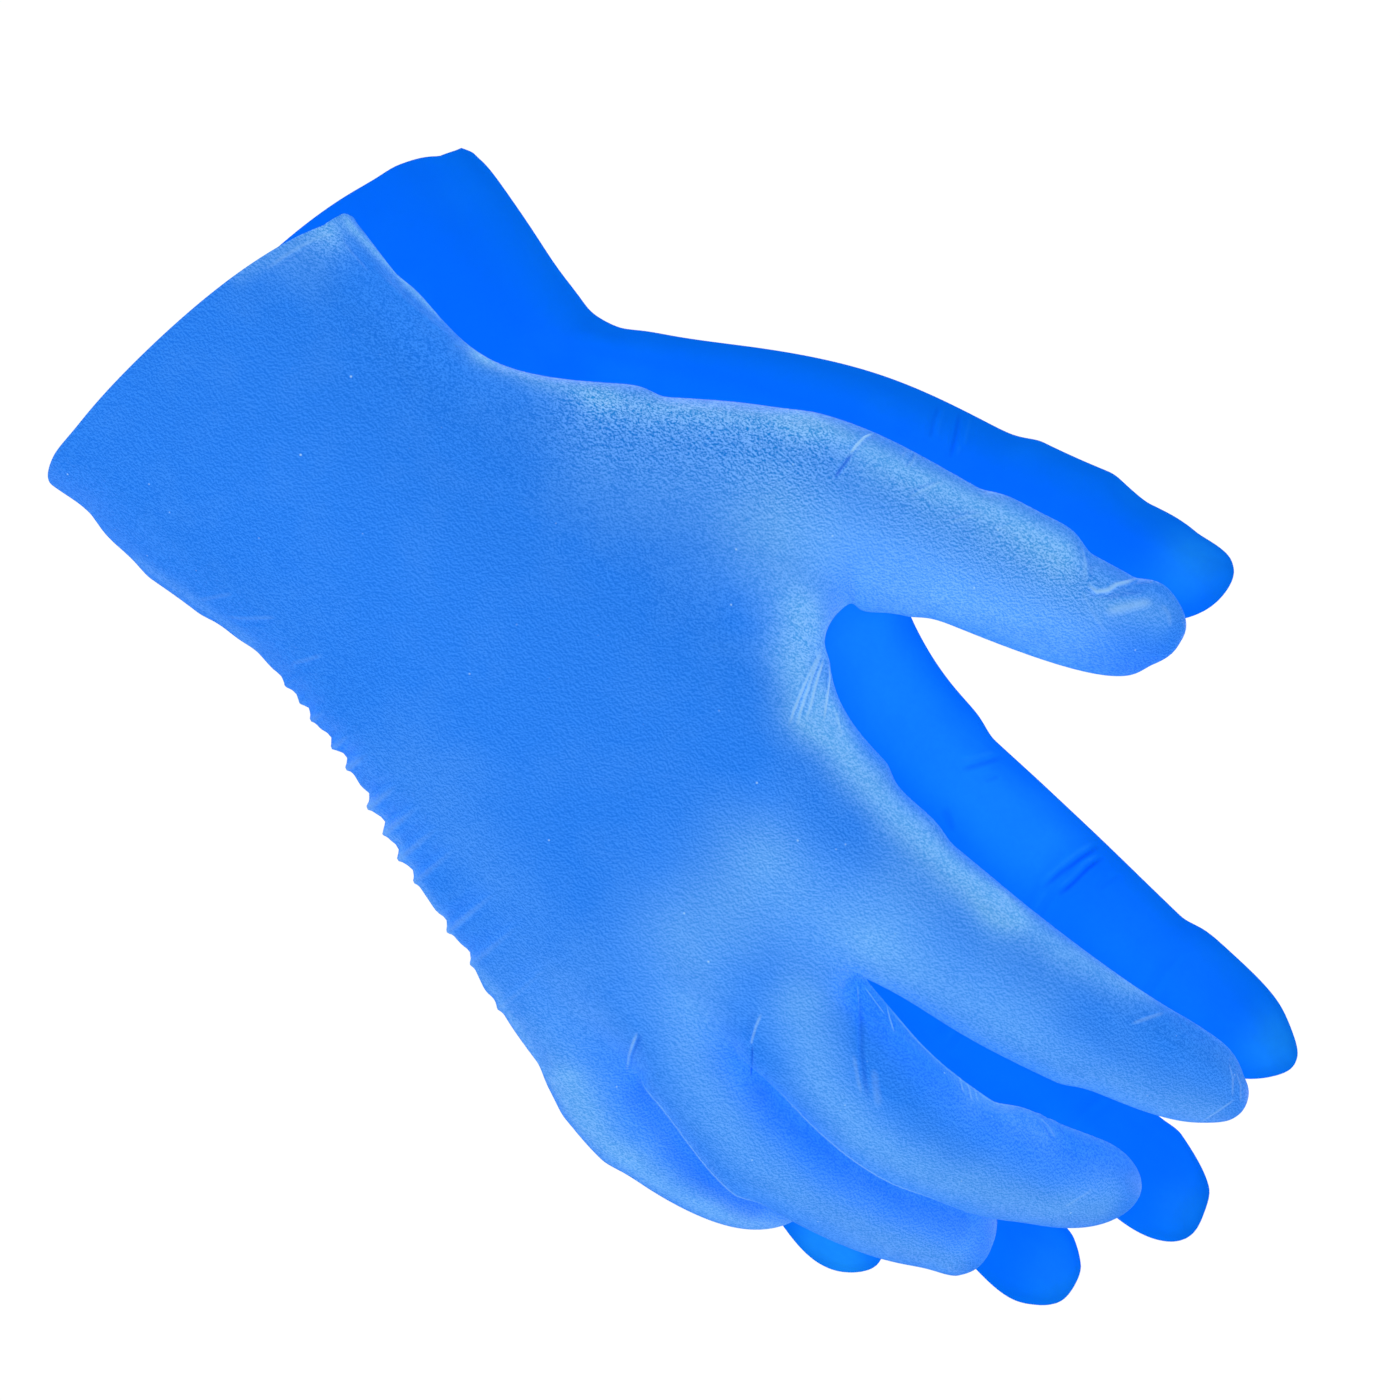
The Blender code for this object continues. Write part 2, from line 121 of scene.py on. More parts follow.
# %% Finger and thumb sizes
Finger = namedtuple("Finger", "x y z roll knuckle web proximal middle distal root joint end tip")
LITTLE = Finger(
    0.1205, 0.0, -0.0325, 9.0, (0.0096, 0.0125), 0.0198, 0.0380, 0.0225, 0.0216,
    (0.0108, 0.0098), (0.0102, 0.0092), (0.0090, 0.0084), (0.0080, 0.0072),
)
RING = Finger(
    0.1298, -0.0030, -0.0165, 10.5, (0.0122, 0.0135), 0.0240, 0.0460, 0.0290, 0.0265,
    (0.0120, 0.0108), (0.0114, 0.0104), (0.0093, 0.0090), (0.0084, 0.0076),
)
MIDDLE = Finger(
    0.1348, -0.0040, 0.0026, 10.0, (0.0128, 0.0140), 0.0242, 0.0480, 0.0300, 0.0278,
    (0.0136, 0.0112), (0.0128, 0.0110), (0.0094, 0.0094), (0.0083, 0.0078),
)
INDEX = Finger(
    0.1328, -0.0015, 0.0260, 1.0, (0.0134, 0.0135), 0.0240, 0.0460, 0.0260, 0.0246,
    (0.0132, 0.0110), (0.0122, 0.0110), (0.0098, 0.0095), (0.0093, 0.0082),
)
FINGERS = (LITTLE, RING, MIDDLE, INDEX)
KNUCKLE_VALLEY, WEB_VALLEY = 0.93, 0.86
WEB_BACK, WEB_MID, WEB_PALM, WEB_GAP = 0.0020, 0.0010, -0.0010, 0.0030
FINGER_GAP, OVERLAP_SHARE = 0.0019, 0.65

THUMB_ROOT = Vector((0.0588, 0.0085, PALM_RISE + PALM_WIDTH / 2 - 0.0084))
METACARPAL, THUMB_PROXIMAL, THUMB_DISTAL = 0.0475, 0.0385, 0.0332
BASE_AT, BASE_HALF, BASE_DEPTH, BASE_SLANT = 0.0395, 0.0172, 0.0140, 0.0155
BALL_AT, BALL_HALF, BALL_DEPTH, BALL_SLANT, BALL_WEB_HALF = 0.0060, 0.0145, 0.0130, 0.0050, 0.0210
SHAFT_AT, SHAFT_HALF, SHAFT_DEPTH = 0.55, 0.0128, 0.0116
THUMB_JOINT_HALF, THUMB_JOINT_DEPTH, THUMB_PAD_HALF = 0.0114, 0.0110, 0.0126
THUMB_TIP_HALF, THUMB_TIP_DEPTH = 0.0108, 0.0088
print("fingers", [round((f.proximal + f.middle + f.distal) * 1000) for f in FINGERS], "mm long")

# %% Bends of the two hands
Bend = namedtuple("Bend", "spread knuckle middle end shift web", defaults=(0.0, 0.0))
ThumbBend = namedtuple("ThumbBend", "outward palmward knuckle end")
RIGHT_FINGERS = (
    Bend(-19.9, 24.5, 23.0, 19.0), Bend(-12.9, 18.0, 27.5, 20.0),
    Bend(-5.4, 15.0, 28.0, 19.0, shift=-0.0015), Bend(7.4, 10.0, 18.0, 19.0),
)
RIGHT_THUMB = ThumbBend(44.0, 26.0, 25.0, -2.0)
LEFT_FINGERS = (
    Bend(-7.5, 5.2, 7.3, 3.8, web=0.0020), Bend(-0.3, 5.7, 7.4, 3.4, shift=-0.0012, web=0.0060),
    Bend(6.6, 8.0, 10.0, 5.0, shift=-0.0028, web=0.0080), Bend(15.5, 16.0, -4.0, -2.0, shift=-0.0016),
)
LEFT_THUMB = ThumbBend(46.6, 4.0, 17.5, -4.0)
print("right index bends", RIGHT_FINGERS[3])

# %% [markdown]
# ## Rings round the hand and the fingers
# A subdivision surface needs a coarse cage: rings of points, joined by bands of four-sided faces. The
# hand's rings have twenty points, so that four fingers of eight points can grow out of the last one.
# Smoothing pulls a ring inwards, so each ring is drawn a little too large by a fixed factor.

# %% Rings of points
SWELL_EIGHT = 1 / (2 / 3 + cos(pi / 4) / 3)
SWELL_TWENTY = 1 / (2 / 3 + cos(pi / 10) / 3)
TIP_RING = 0.79
TIP_POINT = 2.25 - 1.25 * TIP_RING


def power(value, exponent):
    return abs(value) ** exponent * (1 if value > 0 else -1)


def hand_ring(section, pinch=0.0, swell=0.0):
    """Twenty points round the hand: over the back, the thumb edge, the palm and the outer edge."""
    angles = [radians(162 - 18 * step) for step in range(9)] + [0.0]
    angles += [-radians(section.thenar + (162 - section.thenar) * step / 8) for step in range(9)] + [pi]
    points = []
    for angle in angles:
        depth = section.back if sin(angle) > 0 else section.palm
        z = power(cos(angle), 2 / section.fullness) * section.width / 2 * SWELL_TWENTY
        z -= pinch * max(cos(angle), 0.0)
        y = -power(sin(angle), 2 / section.fullness) * depth * SWELL_TWENTY
        x = section.x + section.bow * (0.5 - (1 + swell) * abs(sin(angle)))
        points.append(Vector((x, y, section.z + z)))
    return points


def finger_ring(centre, across, back, half, depth, along=Vector(), slant=0.0, far_half=None):
    """Eight points round a finger, from its outer back corner over the back, thumb side and palm side."""
    points = []
    for step in range(8):
        angle = radians(135 - 45 * step)
        side = half if far_half is None or cos(angle) < 0 else far_half
        point = centre + across * side * SWELL_EIGHT * cos(angle) + back * depth * SWELL_EIGHT * sin(angle)
        points.append(point + along * slant * cos(angle))
    return points


print(len(hand_ring(SECTIONS[0])), "points round the hand, 8 round a finger")

# %% [markdown]
# ## Bending a finger
# A finger is a chain of three bones. Each joint turns everything beyond it, so the chain is walked from
# the knuckle outwards with three directions carried along: along the bone, across the finger and out of
# its back. At a joint the ring is set halfway through the bend, which keeps the tube from pinching.

# %% Finger chains
SHAFT_SHARE = 0.45


def turned(vector, axis, degrees):
    return Matrix.Rotation(radians(degrees), 3, axis) @ vector


def finger_chain(finger, bend):
    """(centre, along, across, back) at knuckle, web, shaft, middle joint, end joint, last ring and cap."""
    along, across, back = Vector((1, 0, 0)), Vector((0, 0, 1)), Vector((0, -1, 0))
    along, across = turned(along, back, bend.spread), turned(across, back, bend.spread)
    across, back = turned(across, along, finger.roll), turned(back, along, finger.roll)

    def bent(degrees):
        return turned(along, across, degrees), turned(back, across, degrees)

    centre = Vector((finger.x, finger.y, finger.z + bend.shift))
    halfway, half_back = bent(bend.knuckle / 2)
    chain = [(centre, halfway, across, half_back)]
    along, back = bent(bend.knuckle)
    web = finger.web + bend.web
    chain.append((centre + along * web, along, across, back))
    chain.append((centre + along * (web + (finger.proximal - web) * SHAFT_SHARE), along, across, back))
    centre = centre + along * finger.proximal
    halfway, half_back = bent(bend.middle / 2)
    chain.append((centre, halfway, across, half_back))
    along, back = bent(bend.middle)
    centre = centre + along * finger.middle
    halfway, half_back = bent(bend.end / 2)
    chain.append((centre, halfway, across, half_back))
    along, back = bent(bend.end)
    chain.append((centre + along * finger.distal * TIP_RING, along, across, back))
    chain.append((centre + along * finger.distal * TIP_POINT, along, across, back))
    return chain


print("index tip at", [round(n, 3) for n in finger_chain(INDEX, RIGHT_FINGERS[3])[6][0]])

# %% The thumb's rings
BALL_BEND_SHARE = 0.35


def thumb_rings(bend):
    """The five rings along the thumb and the point of its cap."""
    outward, palmward = radians(bend.outward), radians(bend.palmward)
    along = Vector((cos(outward) * cos(palmward), sin(palmward), sin(outward) * cos(palmward)))
    across = Vector((sin(outward), 0, -cos(outward)))
    across = (across - along * across.dot(along)).normalized()
    back = across.cross(along)

    def bent(degrees):
        return turned(along, back, -degrees), turned(across, back, -degrees)

    base = THUMB_ROOT + along * BASE_AT
    rings = [finger_ring(base, across, back, BASE_HALF, BASE_DEPTH, along, BASE_SLANT)]
    centre = THUMB_ROOT + along * METACARPAL
    part_way, part_across = bent(bend.knuckle * BALL_BEND_SHARE)
    ball = centre + part_way * BALL_AT
    ball_sizes = BALL_HALF, BALL_DEPTH, part_way, BALL_SLANT, BALL_WEB_HALF
    rings.append(finger_ring(ball, part_across, back, *ball_sizes))
    along, across = bent(bend.knuckle)
    shaft = centre + along * THUMB_PROXIMAL * SHAFT_AT
    rings.append(finger_ring(shaft, across, back, SHAFT_HALF, SHAFT_DEPTH))
    centre = centre + along * THUMB_PROXIMAL
    half_across = bent(bend.end / 2)[1]
    rings.append(
        finger_ring(centre, half_across, back, THUMB_JOINT_HALF, THUMB_JOINT_DEPTH, far_half=THUMB_PAD_HALF)
    )
    along, across = bent(bend.end)
    last = centre + along * THUMB_DISTAL * TIP_RING
    rings.append(finger_ring(last, across, back, THUMB_TIP_HALF, THUMB_TIP_DEPTH))
    return rings, centre + along * THUMB_DISTAL * TIP_POINT


print("thumb tip at", [round(n, 3) for n in thumb_rings(RIGHT_THUMB)[1]])

# %% [markdown]
# ## From knuckles to fingers
# Between the last hand ring and the fingers lie the knuckles and the webs. The knuckle ring runs once
# round all four fingers and dips a little between them. Each finger then gets its own root ring, and
# neighbouring rings come together over a narrow strip, which is the web of the real glove.

# %% Knuckles, webs and neighbouring fingers
def knuckle_ring(chains):
    rings = [finger_ring(c[0][0], c[0][2], c[0][3], *finger.knuckle) for c, finger in zip(chains, FINGERS)]
    back, palm = rings[0][0:2], [rings[0][6], rings[0][5]]
    for ring, other in zip(rings, rings[1:]):
        between = (ring[3] + other[7]) / 2
        back.append(between + ((ring[2] + other[0]) / 2 - between) * KNUCKLE_VALLEY)
        palm.append(between + ((ring[4] + other[6]) / 2 - between) * KNUCKLE_VALLEY)
        back.append(other[1])
        palm.append(other[5])
    back.append(rings[-1][2])
    palm.append(rings[-1][4])
    return back + [rings[-1][3]] + palm[::-1] + [rings[0][7]]


def root_rings(chains):
    rings = [finger_ring(c[1][0], c[1][2], c[1][3], *finger.root) for c, finger in zip(chains, FINGERS)]
    for number, (ring, other) in enumerate(zip(rings, rings[1:])):
        along = (chains[number][1][1] + chains[number + 1][1][1]) / 2
        apart = (chains[number][1][2] + chains[number + 1][1][2]).normalized() * WEB_GAP / 2
        between = (ring[3] + other[7]) / 2
        back = between + ((ring[2] + other[0]) / 2 - between) * WEB_VALLEY - along * WEB_BACK
        palm = between + ((ring[4] + other[6]) / 2 - between) * WEB_VALLEY - along * WEB_PALM
        between = between - along * WEB_MID
        ring[2:5] = back - apart, between - apart, palm - apart
        other[0], other[7], other[6] = back + apart, between + apart, palm + apart
    return rings


def shaft_rings(chains, at, sizes):
    """One ring round each finger, its sides drawn in where neighbours would stand nearer than FINGER_GAP."""
    outer = [half for half, depth in sizes]
    inner = list(outer)
    for number, (near, far) in enumerate(zip(chains, chains[1:])):
        across = (near[at][2] + far[at][2]).normalized()
        excess = inner[number] + outer[number + 1] + FINGER_GAP - (far[at][0] - near[at][0]).dot(across)
        if excess > 0:
            inner[number] -= excess * OVERLAP_SHARE
            outer[number + 1] -= excess * (1 - OVERLAP_SHARE)
    return [
        finger_ring(c[at][0], c[at][2], c[at][3], half, size[1], far_half=far_half)
        for c, size, half, far_half in zip(chains, sizes, outer, inner)
    ]


print("webs", WEB_GAP * 1000, "mm wide")

# %% [markdown]
# ## The cage of one glove
# Now the rings are joined. bmesh is the tool for this: vertices and faces are made one by one, and the
# thumb starts from a hole of eight points that is left open in the hand's edge. The cuff stays open.

# %% Join the rings into a cage
def band(cage, near, far, leave_out=()):
    count = len(near)
    for step in range(count):
        if step not in leave_out:
            after = (step + 1) % count
            cage.faces.new((near[step], near[after], far[after], far[step]))


def tube(cage, root, rings, tip):
    last = root
    for ring in rings:
        points = [cage.verts.new(point) for point in ring]
        band(cage, last, points)
        last = points
    cap = cage.verts.new(tip)
    for step in (1, 3, 5, 7):
        cage.faces.new((last[step], last[(step + 1) % 8], last[(step + 2) % 8], cap))


def join_roots(cage, hand, roots):
    """The faces from the knuckle ring to the four finger roots, with a web between each two."""
    for number, root in enumerate(roots):
        back, palm = 2 * number, 18 - 2 * number
        cage.faces.new((hand[back], hand[back + 1], root[1], root[0]))
        cage.faces.new((hand[back + 1], hand[back + 2], root[2], root[1]))
        cage.faces.new((hand[palm - 2], hand[palm - 1], root[5], root[4]))
        cage.faces.new((hand[palm - 1], hand[palm], root[6], root[5]))
    for number, (root, other) in enumerate(zip(roots, roots[1:])):
        cage.faces.new((hand[2 * number + 2], other[0], root[2]))
        cage.faces.new((root[2], other[0], other[7], root[3]))
        cage.faces.new((root[3], other[7], other[6], root[4]))
        cage.faces.new((hand[16 - 2 * number], root[4], other[6]))
    cage.faces.new((hand[8], hand[9], roots[3][3], roots[3][2]))
    cage.faces.new((hand[9], hand[10], roots[3][4], roots[3][3]))
    cage.faces.new((hand[18], hand[19], roots[0][7], roots[0][6]))
    cage.faces.new((hand[19], hand[0], roots[0][0], roots[0][7]))


def glove_cage(finger_bends, thumb_bend, wrist_pinch=0.0, cuff_swell=0.0):
    cage = bmesh.new()
    chains = [finger_chain(finger, bend) for finger, bend in zip(FINGERS, finger_bends)]
    rings = [hand_ring(section, swell=cuff_swell) for section in SECTIONS]
    rings[THUMB_RING] = hand_ring(SECTIONS[THUMB_RING], wrist_pinch)
    rings.append(knuckle_ring(chains))
    loops = [[cage.verts.new(point) for point in ring] for ring in rings]
    for number, (near, far) in enumerate(zip(loops, loops[1:])):
        band(cage, near, far, (8, 9) if number in (THUMB_RING, THUMB_RING + 1) else ())
    roots = [[cage.verts.new(point) for point in ring] for ring in root_rings(chains)]
    join_roots(cage, loops[-1], roots)

    shafts = [tuple((a + b) / 2 for a, b in zip(f.root, f.joint)) for f in FINGERS]
    sizes = shafts, [f.joint for f in FINGERS], [f.end for f in FINGERS], [f.tip for f in FINGERS]
    stages = [shaft_rings(chains, at, size) for at, size in enumerate(sizes, 2)]
    for number, chain in enumerate(chains):
        tube(cage, roots[number], [stage[number] for stage in stages], chain[6][0])

    start, between, end = loops[THUMB_RING:THUMB_RING + 3]
    hole = [start[9], start[10], between[10], end[10], end[9], end[8], between[8], start[8]]
    along, tip = thumb_rings(thumb_bend)
    tube(cage, hole, [ring[::-1] for ring in along], tip)
    cage.verts.remove(between[9])
    return cage, chains


print("cage tools ready")

# %% [markdown]
# ## The smooth skin
# A Subdivision Surface modifier rounds the cage. The result is taken out as plain arrays of points and
# triangles, because the folds that follow are easier to press into arrays with numpy than to sculpt.
# Long edges are then cut in half, and each new point is set on the curve that the normals at the edge's
# ends suggest, so the skin stays round however often it is cut.

# %% Cut a skin finer
Skin = namedtuple("Skin", "points normals triangles tree")


def unit(rows):
    return rows / np.maximum(np.linalg.norm(rows, axis=1), 1e-12)[:, None]


def normals_of(points, triangles):
    """Unit normals at the points, from the triangles round each."""
    a, b, c = (points[triangles[:, k]] for k in range(3))
    across = np.cross(b - a, c - a)
    total = np.zeros_like(points)
    for k in range(3):
        np.add.at(total, triangles[:, k], across)
    return unit(total)


def with_tree(points, normals, triangles):
    """A skin with the search tree that rays need to find it."""
    return Skin(points, normals, triangles, BVHTree.FromPolygons(points.tolist(), triangles.tolist()))


def cut_edges(skin, wanted):
    """Halve the edges that wanted(middles, lengths) picks; a triangle becomes two, three or four."""
    corners = skin.triangles
    pairs = np.sort(corners[:, [[0, 1], [1, 2], [2, 0]]].reshape(-1, 2), axis=1)
    keys, place = np.unique(pairs[:, 0] * len(skin.points) + pairs[:, 1], return_inverse=True)
    start, end = keys // len(skin.points), keys % len(skin.points)
    a, b, na, nb = skin.points[start], skin.points[end], skin.normals[start], skin.normals[end]
    along = b - a
    bulge = np.sum(along * na, 1)[:, None] * na - np.sum(along * nb, 1)[:, None] * nb
    middles = (a + b) / 2 - bulge / 8
    cut = wanted(middles, np.linalg.norm(along, axis=1))
    number = np.full(len(keys), -1)
    number[cut] = len(skin.points) + np.arange(cut.sum())
    halves = number[place.reshape(-1, 3)]

    made = [corners[(halves < 0).all(1)]]
    for turn in range(3):
        (p, q, r), (x, y, z) = np.roll(corners, -turn, 1).T, np.roll(halves, -turn, 1).T
        one = (x >= 0) & (y < 0) & (z < 0)
        two = (x >= 0) & (y >= 0) & (z < 0)
        for chosen, shapes in ((one, ((p, x, r), (x, q, r))), (two, ((x, q, y), (p, x, y), (p, y, r)))):
            made += [np.stack(shape, 1)[chosen] for shape in shapes]
    (p, q, r), (x, y, z) = corners.T, halves.T
    every = (halves >= 0).all(1)
    made += [np.stack(shape, 1)[every] for shape in ((p, x, z), (x, q, y), (z, y, r), (x, y, z))]
    points = np.concatenate((skin.points, middles[cut]))
    normals = np.concatenate((skin.normals, unit(na[cut] + nb[cut])))
    return Skin(points, normals, np.concatenate(made), None)


print("skins are cut by halving edges")

# %% Smooth the right cage into a skin
LONGEST_EDGE = 0.0011
ROUNDS = 3


def smooth_skin(cage):
    mesh = bpy.data.meshes.new("cage")
    cage.to_mesh(mesh)
    cage.free()
    holder = bpy.data.objects.new("cage", mesh)
    bpy.context.scene.collection.objects.link(holder)
    smooth = holder.modifiers.new("smooth", "SUBSURF")
    smooth.levels = ROUNDS
    smooth.render_levels = ROUNDS
    graph = bpy.context.evaluated_depsgraph_get()
    fine = bmesh.new()
    fine.from_mesh(holder.evaluated_get(graph).to_mesh())
    bmesh.ops.triangulate(fine, faces=fine.faces)
    fine.verts.index_update()
    points = np.array([vertex.co[:] for vertex in fine.verts])
    triangles = np.array([[vertex.index for vertex in face.verts] for face in fine.faces])
    fine.free()
    bpy.data.objects.remove(holder)
    a, b, c = (points[triangles[:, k]] for k in range(3))
    signed_volume = np.sum(a * np.cross(b, c))
    if signed_volume < 0:
        triangles = triangles[:, ::-1]
    skin = Skin(points, normals_of(points, triangles), triangles, None)
    for turn in range(2):
        skin = cut_edges(skin, lambda middles, lengths: lengths > LONGEST_EDGE)
    return skin


cage, right_chains = glove_cage(RIGHT_FINGERS, RIGHT_THUMB)
right_skin = smooth_skin(cage)
print("right skin:", len(right_skin.points), "points")

# %% [markdown]
# ## The left glove's place
# The left glove is the same cage with its own bends, mirrored, turned a little and moved behind the
# right one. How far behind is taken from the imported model's own left glove, so the two always agree.

# %% Place the left skin
LEFT_FORWARD, LEFT_RAISED, LEFT_YAW, LEFT_PITCH = -0.0056, -0.0150, -1.5, -0.8
mirror = Matrix.Scale(-1, 4, Vector((0, 1, 0)))
turn = Matrix.Rotation(radians(LEFT_YAW), 4, "Z") @ Matrix.Rotation(radians(-LEFT_PITCH), 4, "Y")
cage, left_chains = glove_cage(LEFT_FINGERS, LEFT_THUMB, LEFT_WRIST_PINCH, LEFT_CUFF_SWELL)
cage.transform(turn @ mirror)
bmesh.ops.reverse_faces(cage, faces=cage.faces)
loose = smooth_skin(cage)
packed_low, packed_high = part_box("left_glove")
behind = (packed_low[1] + packed_high[1] - loose.points[:, 1].min() - loose.points[:, 1].max()) / 2
left_place = Matrix.Translation((LEFT_FORWARD, behind, LEFT_RAISED)) @ turn @ mirror
left_skin = loose._replace(points=loose.points + np.array((LEFT_FORWARD, behind, LEFT_RAISED)))
print(f"left skin: {len(left_skin.points)} points, {behind * 1000:.1f} mm behind the right one")

# %% [markdown]
# ## The cuffs' corners
# Each cuff hangs pressed a little flat, so its rim runs on to a clean corner at the thumb's edge, and the
# far side of the rim stays hidden behind the near one. From the corner on, the bow of the rim is taken
# out, so that the far side lies a little further forward than the near one.

# %% Shape the cuffs' corners
CORNER_AT, BOW_POWER = 0.008, 1.15
CORNER_ALONG, CORNER_UP = (-0.003, 0.024), (0.003, 0.022)
FAR_TUCK, FAR_TUCK_FROM_TO = 0.0025, (-0.006, 0.014)
FAR_DROP, FAR_DROP_FROM_TO = 0.0020, (0.004, 0.016)


def step_up(values, low, high):
    """0 below low, 1 above high, and a soft step between."""
    part = np.clip((values - low) / (high - low), 0, 1)
    return part * part * (3 - 2 * part)


def corner_cuff(skin, place, near_way, swell):
    """near_way is the sign of the glove's own Y on the side that we see."""
    def bow(y):
        return CUFF_BOW * (0.5 - (1 + swell) * np.clip(np.abs(y) / half_cuff, 0, 1) ** BOW_POWER)

    back = np.array(place.inverted())
    own = skin.points @ back[:3, :3].T + back[:3, 3]
    corner = (1 - step_up(own[:, 0], *CORNER_ALONG)) * step_up(own[:, 2], *CORNER_UP)
    near = own[:, 1] * near_way
    tuck = bow(np.maximum(near, CORNER_AT)) - bow(near) + FAR_TUCK * step_up(-near, *FAR_TUCK_FROM_TO)
    own[:, 0] += corner * tuck
    own[:, 2] -= corner * FAR_DROP * step_up(-near, *FAR_DROP_FROM_TO)
    there = np.array(place)
    points = own @ there[:3, :3].T + there[:3, 3]
    return with_tree(points, normals_of(points, skin.triangles), skin.triangles)


right_skin = corner_cuff(right_skin, Matrix(), -1, 0.0)
left_skin = corner_cuff(left_skin, left_place, 1, LEFT_CUFF_SWELL)
print("cuff corners shaped")

# %% [markdown]
# ## Pulling the outline
# The rings give round, even forms, and a worn glove has its own dents and corners: the nail's step on the
# thumb, squarer fingertips, a bay at the wrist. In Sculpt Mode a few strokes of the Grab brush would do
# this. Here each stroke has a name, runs between two points of the picture and shifts the skin beside it
# to the right and down, in pixels, less and less with distance. Where strokes overlap, their mean counts.

# %% The grab brush
BRUSH_RADIUS = 22


def in_picture(points):
    """Where points fall in the picture, in pixels to the right and down."""
    rays = points - np.array(eye)
    depth = -rays @ np.array(towards_eye) / focal_pixels
    across = rays @ np.array(picture_right) / depth
    up = rays @ np.array(picture_up) / depth
    return PICTURE / 2 + across, PICTURE / 2 - up


def grab(skin, strokes):
    seen = np.stack(in_picture(skin.points), axis=1)
    total, move = np.zeros(len(seen)), np.zeros((len(seen), 2))
    for start, end, shift in strokes.values():
        way = np.subtract(end, start)
        along = np.clip((seen - start) @ way / max(way @ way, 1), 0, 1)
        gap = seen - start - along[:, None] * way
        near = np.exp(-(gap ** 2).sum(axis=1) / BRUSH_RADIUS ** 2)
        total += near
        move += near[:, None] * shift
    move *= METRES_PER_PIXEL / np.maximum(total, 1)[:, None]
    points = skin.points + move[:, :1] * np.array(picture_right) - move[:, 1:] * np.array(picture_up)
    return with_tree(points, normals_of(points, skin.triangles), skin.triangles)


print("grab brush ready")

# %% Strokes on the right glove
RIGHT_STROKES = {
    "rim corner out": ((60, 455), (60, 480), (-6, 2)),
    "rim foot in": ((65, 505), (85, 515), (3, -5)),
    "wrist out": ((155, 575), (200, 605), (-3, 5)),
    "wrist bay": ((255, 660), (350, 780), (4, -5)),
    "heel of the hand": ((400, 850), (450, 920), (-5, 1)),
    "little side in": ((500, 1020), (530, 1065), (6, -5)),
    "little root out": ((570, 1115), (605, 1155), (-4, 4)),
    "cuff top in": ((365, 225), (400, 265), (-5, 4)),
    "thumb root flat": ((670, 385), (790, 395), (-2, 11)),
    "thumb back": ((815, 400), (980, 480), (-4, 7)),
    "nail step": ((1100, 545), (1140, 560), (-7, 13)),
    "thumb tip under": ((1160, 670), (1180, 650), (-5, -6)),
    "thumb underside": ((850, 600), (905, 608), (0, 7)),
    "thumb crotch": ((820, 670), (875, 765), (9, -5)),
    "index back": ((960, 840), (1190, 1010), (-5, 6)),
    "index tip": ((1215, 1025), (1250, 1065), (-8, 6)),
    "index tip under": ((1230, 1112), (1236, 1112), (4, 5)),
    "index web": ((865, 985), (880, 990), (-17, 1)),
    "index underside": ((905, 990), (1060, 1075), (-4, 6)),
    "middle back": ((895, 1000), (1000, 1090), (-9, 9)),
    "ring back": ((755, 1060), (900, 1180), (-6, 8)),
    "ring end": ((930, 1190), (990, 1215), (-1, 6)),
    "ring tip": ((1005, 1228), (1000, 1240), (-11, -2)),
    "ring tip under": ((985, 1255), (955, 1265), (4, 10)),
    "little back": ((660, 1085), (740, 1185), (-9, 7)),
}
right_skin = grab(right_skin, RIGHT_STROKES)
print(len(RIGHT_STROKES), "strokes on the right glove")

# %% Strokes on the left glove
LEFT_STROKES = {
    "cuff top out": ((400, 168), (435, 158), (-1, -4)),
    "cuff corner round": ((458, 147), (470, 147), (0, 5)),
    "thumb root in": ((595, 315), (620, 320), (-3, 5)),
    "thumb back out": ((1040, 450), (1105, 478), (4, -7)),
    "thumb end in": ((1155, 500), (1195, 528), (-3, 5)),
    "thumb tip": ((1225, 565), (1225, 570), (8, -2)),
    "index back": ((1000, 735), (1185, 910), (-5, 6)),
    "index tip": ((1285, 1055), (1285, 1060), (9, 4)),
    "middle underside": ((1170, 1140), (1200, 1190), (10, -4)),
    "ring tip": ((1070, 1265), (1065, 1240), (9, -1)),
    "ring end": ((1040, 1308), (1045, 1308), (0, -4)),
    "little tip": ((870, 1255), (870, 1260), (10, 4)),
    "palm behind the gap": ((875, 985), (990, 1095), (-11, 11)),
}
left_skin = grab(left_skin, LEFT_STROKES)
print(len(LEFT_STROKES), "strokes on the left glove")

# %% [markdown]
# ## Drawing folds on the skin
# Thin film folds sharply where the hand bends. A fold is a line of points on the skin with a width, a
# groove and a raised lip on its left or right side, in metres; a negative groove is a ridge. Lines that
# show in the picture are written as picture points and thrown onto the skin along the line of sight, so
# each lies where it was seen and still sits on the surface from any other side. Tone says how much
# painted highlight the fold puts on its lips and how much painted shade in its groove.

# %% Tools for fold lines
Fold = namedtuple("Fold", "line width groove left right tone", defaults=(0.0, 0.0, 1.0))


def sight(u, v):
    """Direction of the line of sight through a point of the picture."""
    across, down = u - PICTURE / 2, v - PICTURE / 2
    return (picture_right * across - picture_up * down - towards_eye * focal_pixels).normalized()


def on_skin(skin, line, step=1.5):
    """Points on the skin under a line of picture points, a step of so many pixels apart."""
    found = []
    for (u0, v0), (u1, v1) in zip(line, line[1:]):
        count = max(2, int(((u1 - u0) ** 2 + (v1 - v0) ** 2) ** 0.5 / step))
        for part in np.linspace(0, 1, count):
            hit = skin.tree.ray_cast(eye, sight(u0 + (u1 - u0) * part, v0 + (v1 - v0) * part))[0]
            if hit is not None:
                found.append(hit[:])
    return np.array(found)


def draw(skin, folds):
    """The folds with their picture lines thrown onto the skin."""
    return [fold._replace(line=on_skin(skin, fold.line)) for fold in folds]


